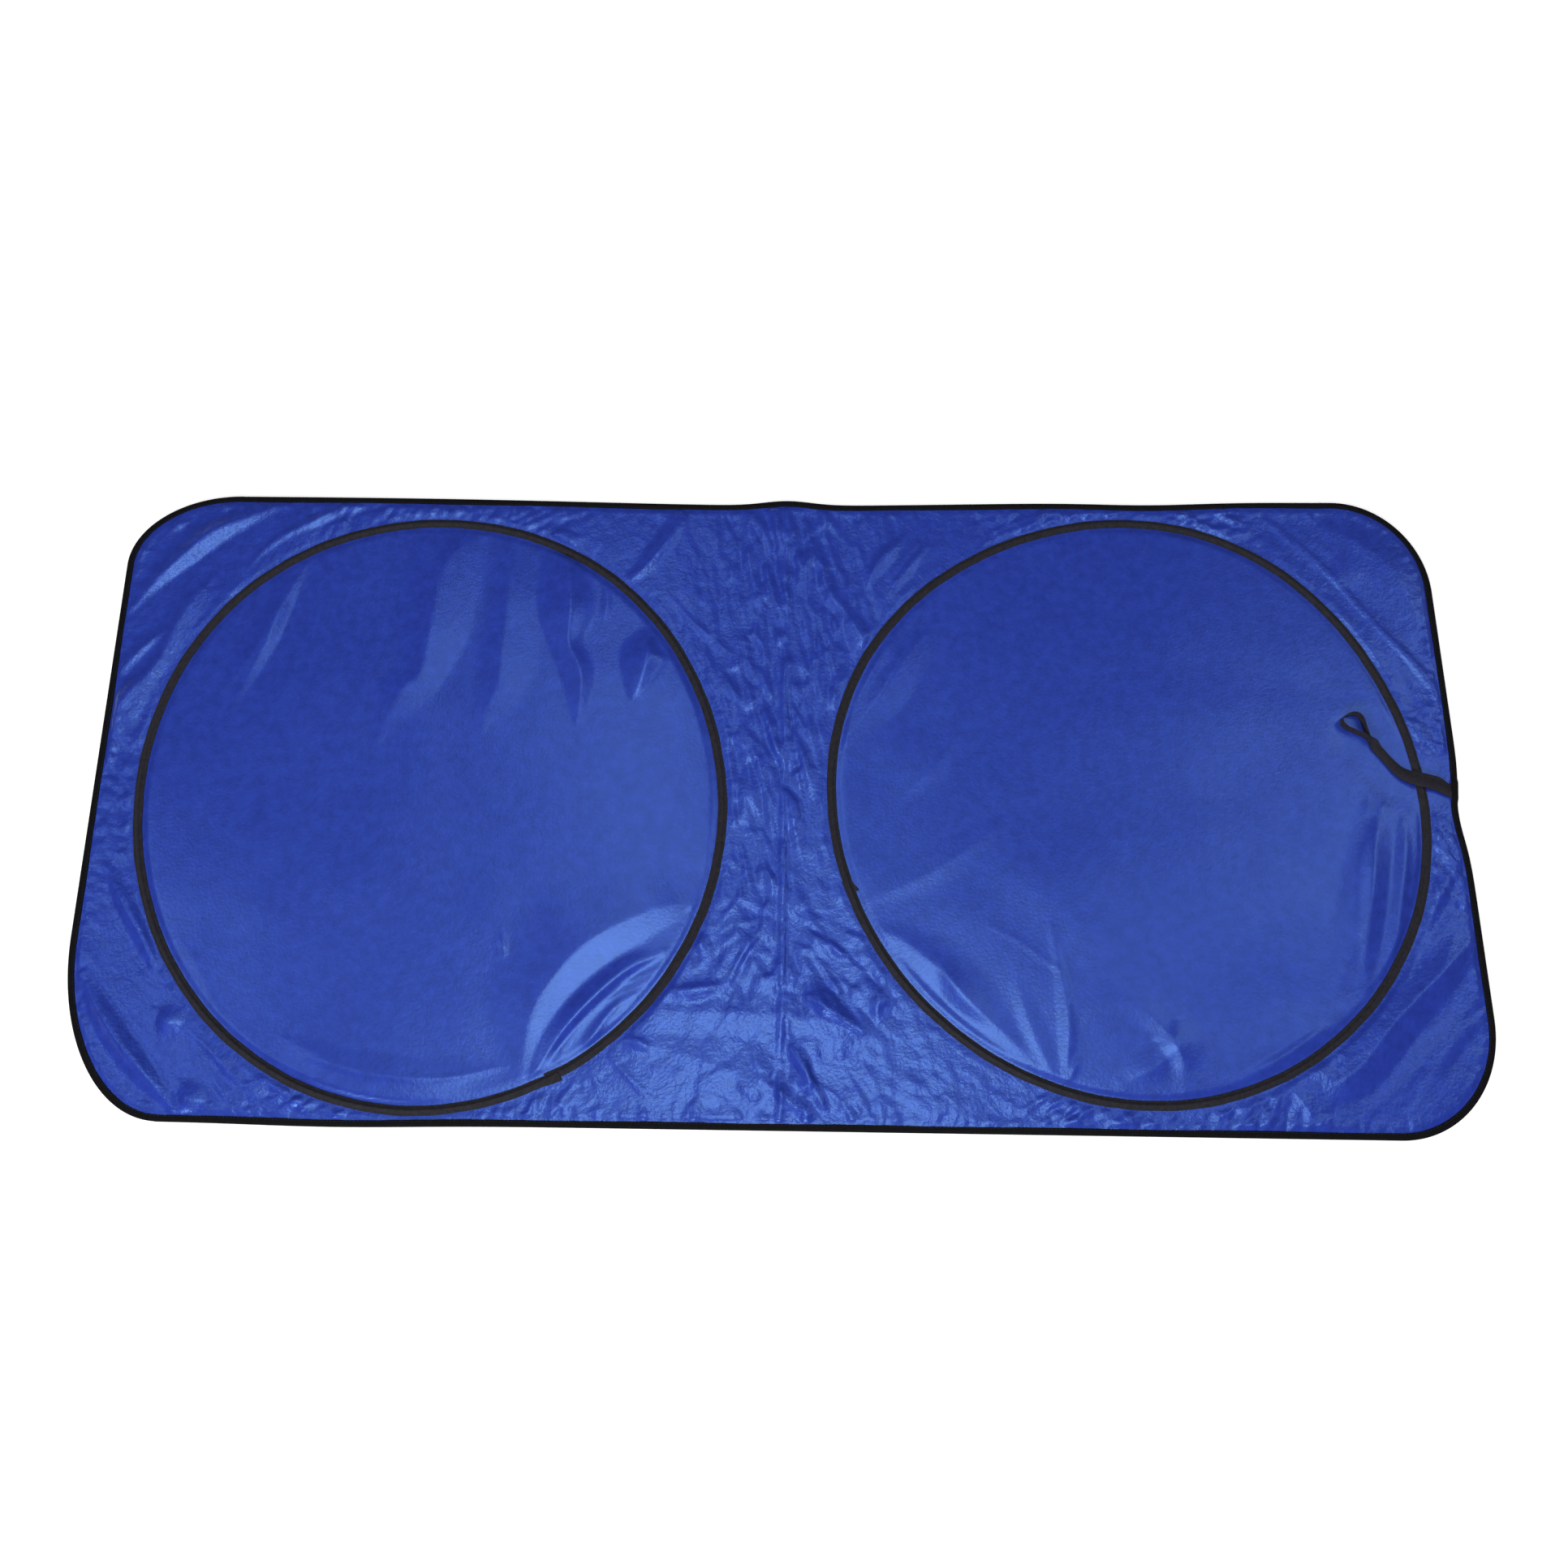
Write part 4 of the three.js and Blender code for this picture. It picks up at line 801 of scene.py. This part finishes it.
def hoop_tape(hoop, material):
    """Tape over a hoop, cut at the join, where its two ends lap."""
    join = math.radians(JOIN_ANGLES[hoop["side"]])
    ends = TAPE_ENDS[hoop["side"]]
    radius = HOOP_DIAMETER / 2
    lap_angle = TAPE_LAP / radius
    stations, angle = hoop_stations(hoop, TAPE_STATIONS, join - lap_angle, TURN + 2 * lap_angle)
    walked = (angle - angle[0]) * radius
    left_to_go = walked[-1] - walked
    stray = ends["first"] * (1 - smooth(walked, 0, ends["reach"]))
    stray = stray + ends["last"] * (1 - smooth(left_to_go, 0, ends["reach"]))
    lap = TAPE_LAP_RISE * (1 - smooth(left_to_go, 2 * TAPE_LAP, 4 * TAPE_LAP))
    from_join = np.minimum(np.abs(walked - TAPE_LAP), np.abs(left_to_go - TAPE_LAP))
    ridges = TAPE_RIDGE + FERRULE_RIDGE * (1 - smooth(from_join, FERRULE_LENGTH / 2, FERRULE_LENGTH))
    stations[:, 0] += stations[:, 2] * stray
    stations[:, 1] += stations[:, 3] * stray
    half = TAPE_WIDTH / 2
    sections = []
    for walk, ridge, rise, strayed in zip(walked, ridges, lap, stray):
        wave = 0.22 * math.sin(walk / 17) + 0.16 * math.sin(walk / 6.1 + 1)
        outer, inner = half + wave, half - 0.6 * wave
        tops = [share * (outer if share > 0 else inner) for share in TAPE_SHARES]
        section = [(-inner, TAPE_BASE + rise), (outer, TAPE_BASE + rise)]
        section += [(across, rise + tape_top(across, half, ridge, strayed)) for across in tops]
        sections.append(section)
    points, faces = sweep(stations, sections, closed=False)
    return make_object(f"{hoop['side']}_tape", points, faces, material)


# Binding, which bulges over the ends of the strap
BULGE_HEIGHT = 2.5
BULGE_HALF_WIDTH = 11
BULGE_FADE = 4
UPPER_LEG = 1.6
LEG_FOOT = -BINDING_THICKNESS - 0.4
BINDING_LINE = outline(BINDING_SPACING)
BINDING_OUTWARD = outward_normals(BINDING_LINE)
BINDING_FROM_ROOT = np.where(BINDING_LINE[:, 0] > RIGHT["x"],
                             np.abs(BINDING_LINE[:, 1] - STRAP_ROOT_Y), np.inf)


def binding(material):
    stations = np.concatenate([BINDING_LINE, BINDING_OUTWARD], axis=1)
    fade = smooth(BINDING_FROM_ROOT, BULGE_HALF_WIDTH - 3, BULGE_HALF_WIDTH + BULGE_FADE)
    sections = []
    for along, bulge in zip(walked_along(BINDING_LINE), BULGE_HEIGHT * (1 - fade)):
        ripple = 0.16 * math.sin(along / 4.1) + 0.12 * math.sin(along / 9.7 + 2)
        inner = -BINDING_WIDTH + 0.5 * ripple + 0.3 * math.sin(along / 31)
        top = BINDING_TOP + 0.25 * ripple + bulge
        upper = UPPER_LEG + bulge
        sections.append([
            (-BINDING_WIDTH, 0.05), (-1.2, 0.0), (-0.35, 0.2), (0.0, 0.75), (0.0, 1.4 + bulge / 2),
            (-0.35, top - 0.2), (-1.2, top), (-3.0, top + 0.12), (-5.2, top - 0.05),
            (inner + 0.4, top - 0.12), (inner, top - 0.3), (inner, upper), (LEG_FOOT, upper - 0.1),
            (-BINDING_THICKNESS, 1.1), (LEG_FOOT, BINDING_THICKNESS + 0.1),
            (-BINDING_WIDTH, BINDING_THICKNESS),
        ])
    points, faces = sweep(stations, sections)
    return make_object("binding", points, faces, material)


# Elastic strap: two strands side by side at the binding, one on the other over the hoop, then on edge

STRAP_STATIONS = 96
EYE_STATIONS = 120
STRAP_TAIL = 6.5
STRAP_BEVEL = 0.35


def along_route(share):
    position = share * (len(STRAP_ROUTE) - 1)
    index = min(int(position), len(STRAP_ROUTE) - 2)
    point = lerp(STRAP_ROUTE[index], STRAP_ROUTE[index + 1], position - index)
    ahead = STRAP_ROUTE[min(index + 3, len(STRAP_ROUTE) - 1)] - STRAP_ROUTE[max(index - 2, 0)]
    along = ahead * [1, 1, 0]
    return point, along / np.linalg.norm(along)


def strap_frame(share):
    point, along = along_route(share)
    square = np.cross(along, UP)
    level = lerp(np.array([0.0, 1.0, 0.0]), square, float(smooth(share, 0, SKEW_END)))
    level /= np.linalg.norm(level)
    rolled = math.pi / 2 * float(smooth(share, ROLL_START, ROLL_END))
    across = np.array(Matrix.Rotation(-rolled, 3, Vector(along)) @ Vector(level))
    across /= np.linalg.norm(across)
    flat_rise = (1.5 * STRAND_GAP + STRAP_THICKNESS) * math.cos(rolled)
    edge_rise = (STRAND_GAP + STRAP_WIDTH / 2) * math.sin(rolled)
    up = np.cross(across, along)
    return point + UP * (flat_rise + edge_rise), across, up / np.linalg.norm(up)


def strand_station(share, side):
    point, across, up = strap_frame(share)
    pitch = STRAP_THICKNESS + STRAND_GAP
    splay = STRAP_SPLAY * (1 - float(smooth(share, SPLAY_START, SPLAY_END)))
    return point + up * side * pitch / 2 - across * side * splay, across, -side * up


def eye_stations():
    neck, across, _ = strap_frame(1)
    middle = [neck + [x, y, 0] for x, y in EYE_PATH]
    line = spline([strand_station(1, -1)[0], *middle, strand_station(1, 1)[0]], steps=24)
    walked = walked_along(line)
    even = np.linspace(0, walked[-1], EYE_STATIONS + 1)
    points = np.stack([np.interp(even, walked, line[:, axis]) for axis in range(3)], axis=1)
    stations = []
    for before, point, after in zip(points[:-2], points[1:-1], points[2:]):
        heading = (after - before) / np.linalg.norm(after - before)
        stations.append((point, across, np.cross(across, heading)))
    return stations


def elastic_strap(material):
    shares = np.arange(STRAP_STATIONS + 1) / STRAP_STATIONS
    outward = [strand_station(share, -1) for share in shares]
    back = [strand_station(share, 1) for share in shares[::-1]]
    tail = np.array([STRAP_TAIL, 0, 0])
    outward.insert(0, (outward[0][0] + tail, *outward[0][1:]))
    back.append((back[-1][0] + tail, *back[-1][1:]))
    frames = [*outward, *eye_stations(), *back]
    half, thick, bevel = STRAP_WIDTH / 2, STRAP_THICKNESS / 2, STRAP_BEVEL
    section = [(-half, -thick + bevel), (-half + bevel, -thick), (half - bevel, -thick),
               (half, -thick + bevel), (half, thick - bevel), (half - bevel, thick),
               (-half + bevel, thick), (-half, thick - bevel)]
    points = np.array([point + across * a + up * b for point, across, up in frames for a, b in section])
    return make_object("strap", points, tube_faces(len(frames), len(section), closed=False), material)


# Stitches: short lengths of thread, each a small six-sided bead

STITCH_INSET = 1.2
STITCH_SUNK = 0.08
TAPE_STITCH = {"length": 2.6, "pitch": 3.6, "thickness": 0.5}
TAPE_STITCH_STATIONS = 700
BINDING_STITCH = {"length": 2.8, "pitch": 3.8, "thickness": 0.45}
BEAD = [(-0.5, 0.0, 0.0), (-0.3, 0.5, 0.4), (0.3, 0.5, 0.4), (0.5, 0.0, 0.0),
        (0.3, -0.5, 0.4), (-0.3, -0.5, 0.4), (-0.25, 0.0, 0.9), (0.25, 0.0, 0.9)]
BEAD_SIDES = [(0, 1, 6), (1, 2, 7, 6), (2, 3, 7), (3, 4, 7), (4, 5, 6, 7), (5, 0, 6), (5, 4, 3, 2, 1, 0)]
BEAD_FLATNESS = 0.6


def stitches(name, rows, material, length, pitch, thickness):
    points, faces = [], []
    for line, level in rows:
        walked = walked_along(line)
        for at in np.arange(0, walked[-1] - pitch, pitch):
            x = np.interp([at, at + length], walked, line[:, 0])
            y = np.interp([at, at + length], walked, line[:, 1])
            along = np.array([x[1] - x[0], y[1] - y[0]]) / length
            base = len(points)
            for a, b, c in BEAD:
                points.append([
                    x.mean() + along[0] * a * length - along[1] * b * thickness,
                    y.mean() + along[1] * a * length + along[0] * b * thickness,
                    level + c * thickness * BEAD_FLATNESS,
                ])
            faces += [[base + corner for corner in side] for side in BEAD_SIDES]
    return make_object(name, points, faces, material)


def tape_stitches(hoop, material):
    rows = []
    clear = TAPE_ENDS[hoop["side"]]["reach"] / HOOP_DIAMETER * 2
    start = math.radians(JOIN_ANGLES[hoop["side"]]) + clear
    for offset in (STITCH_INSET - TAPE_WIDTH / 2, TAPE_WIDTH / 2 - STITCH_INSET):
        stations, _ = hoop_stations(hoop, TAPE_STITCH_STATIONS, start, TURN - 2 * clear, offset)
        rows.append((stations[:, :2], TAPE_BASE + TAPE_EDGE + 0.02))
    return stitches(f"{hoop['side']}_tape_stitches", rows, material, **TAPE_STITCH)


def binding_stitches(material):
    row = BINDING_LINE - BINDING_OUTWARD * (BINDING_WIDTH - STITCH_INSET)
    kept = np.roll(np.arange(len(row)), -int(np.argmin(BINDING_FROM_ROOT)))
    kept = kept[BINDING_FROM_ROOT[kept] > BULGE_HALF_WIDTH + BULGE_FADE]
    rows = [(row[kept], BINDING_TOP - STITCH_SUNK)]
    return stitches("binding_stitches", rows, material, **BINDING_STITCH)


# Materials

def new_material(name):
    material = bpy.data.materials.new(name)
    material.use_nodes = True
    tree = material.node_tree
    return material, tree, tree.nodes["Principled BSDF"]


def fill(tree, node, inputs):
    """Link each named input of a node, or give it its value."""
    for socket, value in inputs.items():
        if isinstance(value, bpy.types.NodeSocket):
            tree.links.new(value, node.inputs[socket])
        else:
            node.inputs[socket].default_value = value
    return node


def add_node(tree, kind, inputs, **settings):
    node = tree.nodes.new(f"ShaderNode{kind}")
    for name, value in settings.items():
        setattr(node, name, value)
    return fill(tree, node, inputs)


def mapped(tree, scale):
    place = add_node(tree, "TexCoord", {}).outputs["Object"]
    return add_node(tree, "Mapping", {"Vector": place, "Scale": scale}).outputs["Vector"]


def noise(tree, vector, scale, detail, roughness):
    inputs = {"Vector": vector, "Scale": scale, "Detail": detail, "Roughness": roughness}
    return add_node(tree, "TexNoise", inputs).outputs["Fac"]


def ramp(tree, factor, stops):
    node = add_node(tree, "ValToRGB", {"Fac": factor})
    elements = node.color_ramp.elements
    while len(elements) < len(stops):
        elements.new(0.5)
    for element, (position, colour) in zip(elements, stops):
        element.position = position
        element.color = (*colour, 1)
    return node.outputs["Color"]


def bump(tree, height, distance, strength, below=None):
    inputs = {"Height": height, "Distance": distance, "Strength": strength}
    if below is not None:
        inputs["Normal"] = below
    return add_node(tree, "Bump", inputs).outputs["Normal"]


def combine(tree, operation, first, second):
    return add_node(tree, "Math", {0: first, 1: second}, operation=operation).outputs[0]


# Blender's wave texture is a sine of this many radians for each metre, at scale 1
WAVE_RADIANS = 20


def weave(tree, vector, threads_per_metre):
    """Over and under of a plain weave, as the product of two waves."""
    inputs = {"Vector": vector, "Scale": threads_per_metre / WAVE_RADIANS * math.pi, "Distortion": 0.0}
    waves = [add_node(tree, "TexWave", inputs, bands_direction=direction).outputs["Fac"]
             for direction in ("X", "Y")]
    return combine(tree, "MULTIPLY", *waves)


CLOTH_DARK = (0.0150, 0.031, 0.27)
CLOTH_BLUE = (0.0180, 0.038, 0.32)
CLOTH_LIGHT = (0.0215, 0.046, 0.375)
CLOTH_SHINE = (0.25, 0.5, 1.0, 1)


def cloth_material():
    """Shiny taffeta: mottled blue, finely crinkled where it is slack outside the hoops."""
    material, tree, shader = new_material("cloth_taffeta")
    plain = mapped(tree, (1, 1, 1))
    mottle = noise(tree, plain, 80, 5, 0.75)
    colour = ramp(tree, mottle, [(0.34, CLOTH_DARK), (0.5, CLOTH_BLUE), (0.66, CLOTH_LIGHT)])
    slack = add_node(tree, "Attribute", {}, attribute_name="slack").outputs["Fac"]
    crinkle = combine(tree, "MULTIPLY", noise(tree, plain, 150, 3, 0.55), slack)
    normal = bump(tree, crinkle, 0.0012, 0.4)
    normal = bump(tree, noise(tree, plain, 300, 3, 0.6), 0.0005, 0.5, normal)
    normal = bump(tree, weave(tree, plain, 2200), 0.00006, 0.25, normal)
    fill(tree, shader, {
        "Base Color": colour, "Roughness": 0.30, "Specular IOR Level": 0.9, "Specular Tint": CLOTH_SHINE,
        "Sheen Weight": 0.1, "Sheen Roughness": 0.4, "Sheen Tint": CLOTH_SHINE, "Normal": normal,
    })
    return material


def woven_material(name, dark, light, threads, specular=0.2, sheen=0.06):
    material, tree, shader = new_material(name)
    plain = mapped(tree, (1, 1, 1))
    fibre = noise(tree, plain, 260, 3, 0.6)
    normal = bump(tree, weave(tree, plain, threads), 0.0003, 0.6)
    fill(tree, shader, {
        "Base Color": ramp(tree, fibre, [(0.3, dark), (0.7, light)]), "Roughness": 0.75,
        "Specular IOR Level": specular, "Sheen Weight": sheen, "Sheen Roughness": 0.5,
        "Normal": bump(tree, fibre, 0.0003, 0.3, normal),
    })
    return material


def metal_material(name, dark, light, roughness):
    material, tree, shader = new_material(name)
    drawn = noise(tree, mapped(tree, (40, 40, 900)), 6, 3, 0.6)
    fill(tree, shader, {
        "Base Color": ramp(tree, drawn, [(0.3, dark), (0.7, light)]), "Metallic": 1.0,
        "Roughness": roughness, "Normal": bump(tree, drawn, 0.00005, 0.4),
    })
    return material


# Stage, light and camera

FLOOR_GREY = (0.88, 0.88, 0.88, 1)
FLOOR_GLOW, FAR_GLOW = 0.35, 0.95
GLOW_NEAR, GLOW_FAR = 0.75, 1.6
FLOOR_LEVEL = -0.3
FLOOR_REACH = 8000
WORLD_LIGHT = 0.08


def white_floor():
    """Pale floor that takes the shadow, and glows only where it is seen, more so further away."""
    material, tree, shader = new_material("floor_white")
    tree.nodes.remove(shader)
    path = add_node(tree, "LightPath", {}).outputs
    seen = combine(tree, "MAXIMUM", path["Is Camera Ray"], path["Is Glossy Ray"])
    seen = combine(tree, "MAXIMUM", seen, path["Is Transmission Ray"])
    place = add_node(tree, "TexCoord", {}).outputs["Object"]
    away = add_node(tree, "VectorMath", {0: place}, operation="LENGTH").outputs["Value"]
    shares = {"Value": away, "From Min": GLOW_NEAR, "From Max": GLOW_FAR, "To Min": FLOOR_GLOW,
              "To Max": FAR_GLOW}
    level = add_node(tree, "MapRange", shares, interpolation_type="SMOOTHSTEP").outputs["Result"]
    glow = add_node(tree, "Emission", {"Strength": combine(tree, "MULTIPLY", seen, level)})
    plain = add_node(tree, "BsdfDiffuse", {"Color": FLOOR_GREY})
    both = add_node(tree, "AddShader", {0: plain.outputs[0], 1: glow.outputs[0]})
    fill(tree, tree.nodes["Material Output"], {"Surface": both.outputs[0]})
    return material


def make_stage():
    edge = FLOOR_REACH
    corners = [(-edge, -edge, FLOOR_LEVEL), (edge, -edge, FLOOR_LEVEL),
               (edge, edge, FLOOR_LEVEL), (-edge, edge, FLOOR_LEVEL)]
    floor = make_object("floor", corners, [[0, 1, 2, 3]], white_floor())

    world = bpy.data.worlds.new("studio")
    bpy.context.scene.world = world
    world.use_nodes = True
    tree = world.node_tree
    seen = add_node(tree, "LightPath", {}).outputs["Is Camera Ray"]
    strength = add_node(tree, "MapRange", {"Value": seen, "To Min": WORLD_LIGHT, "To Max": 1.0})
    fill(tree, tree.nodes["Background"], {"Color": (1, 1, 1, 1), "Strength": strength.outputs["Result"]})


def area_light(name, place, target, size, power):
    light = bpy.data.lights.new(name, "AREA")
    light.shape = "RECTANGLE"
    light.size, light.size_y = size
    light.energy = power
    lamp = bpy.data.objects.new(name, light)
    lamp.location = place
    lamp.rotation_mode = "QUATERNION"
    lamp.rotation_quaternion = (Vector(target) - Vector(place)).to_track_quat("-Z", "Y")
    bpy.context.scene.collection.objects.link(lamp)


def make_camera():
    data = bpy.data.cameras.new("camera")
    data.sensor_width = SENSOR_WIDTH
    data.lens = SENSOR_WIDTH * FOCAL_PIXELS / PHOTO_SIZE
    camera = bpy.data.objects.new("camera", data)
    turned = (Matrix.Rotation(math.radians(CAMERA_TILT), 4, "X")
              @ Matrix.Rotation(math.radians(CAMERA_YAW), 4, "Y")
              @ Matrix.Rotation(math.radians(CAMERA_ROLL), 4, "Z"))
    camera.matrix_world = Matrix.Translation(Vector(CAMERA_PLACE) * MM) @ turned
    bpy.context.scene.collection.objects.link(camera)
    bpy.context.scene.camera = camera


# Lamps: place and aim in metres, width and height in metres, and power in watts
LAMPS = {
    "low_key": [(-0.8, -2.6, 1.6), (0, 0, 0), (1.5, 0.6), 66],
    "softbox": [Vector(SOFTBOX_PLACE) * MM, (0, -0.1, 0), (1.2, 1.0), 39],
    "small_box": [Vector(SMALL_BOX_PLACE) * MM, (0, 0, 0), (0.5, 0.5), 6.5],
    "right_fill": [Vector(RIGHT_FILL_PLACE) * MM, (0.6, 0, 0), (0.5, 2.4), 18],
    "left_fill": [Vector(LEFT_FILL_PLACE) * MM, (-0.6, 0, 0), (0.5, 0.8), 9.5],
}

bpy.context.scene.view_settings.view_transform = "Standard"
make_camera()
make_stage()
for lamp_name, settings in LAMPS.items():
    area_light(lamp_name, *settings)

cloth = cloth_mesh(cloth_material())
tape_finish = woven_material("tape_weave", (0.009, 0.0085, 0.012), (0.019, 0.018, 0.024), 1100)
binding_finish = woven_material("binding_weave", (0.0018, 0.0018, 0.0024), (0.004, 0.004, 0.0052), 1300,
                                specular=0.1, sheen=0.02)
elastic_finish = woven_material("elastic_weave", (0.009, 0.008, 0.013), (0.019, 0.017, 0.026), 900)
thread_finish = woven_material("thread", (0.005, 0.005, 0.007), (0.013, 0.013, 0.016), 4000)
steel = metal_material("spring_steel", (0.22, 0.23, 0.25), (0.33, 0.34, 0.36), 0.35)
plated = metal_material("plated_steel", (0.36, 0.37, 0.38), (0.5, 0.51, 0.52), 0.45)

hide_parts("cloth_sheet")
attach(cloth, "root")

edge = binding(binding_finish)
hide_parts("edge_binding")
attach(edge, "root")

edge_thread = binding_stitches(thread_finish)
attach(edge_thread, "root")

for hoop in HOOPS:
    side = hoop["side"]
    tape = hoop_tape(hoop, tape_finish)
    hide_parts(f"{side}_hoop_tape")
    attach(tape, "root")
    thread = tape_stitches(hoop, thread_finish)
    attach(thread, "root")

strap = elastic_strap(elastic_finish)
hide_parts("elastic_strap")
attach(strap, "root")

for node, finish in (("left_hoop_wire", steel), ("right_hoop_wire", steel),
                     ("left_hoop_ferrule", plated), ("right_hoop_ferrule", plated)):
    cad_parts[node].data.materials.clear()
    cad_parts[node].data.materials.append(finish)
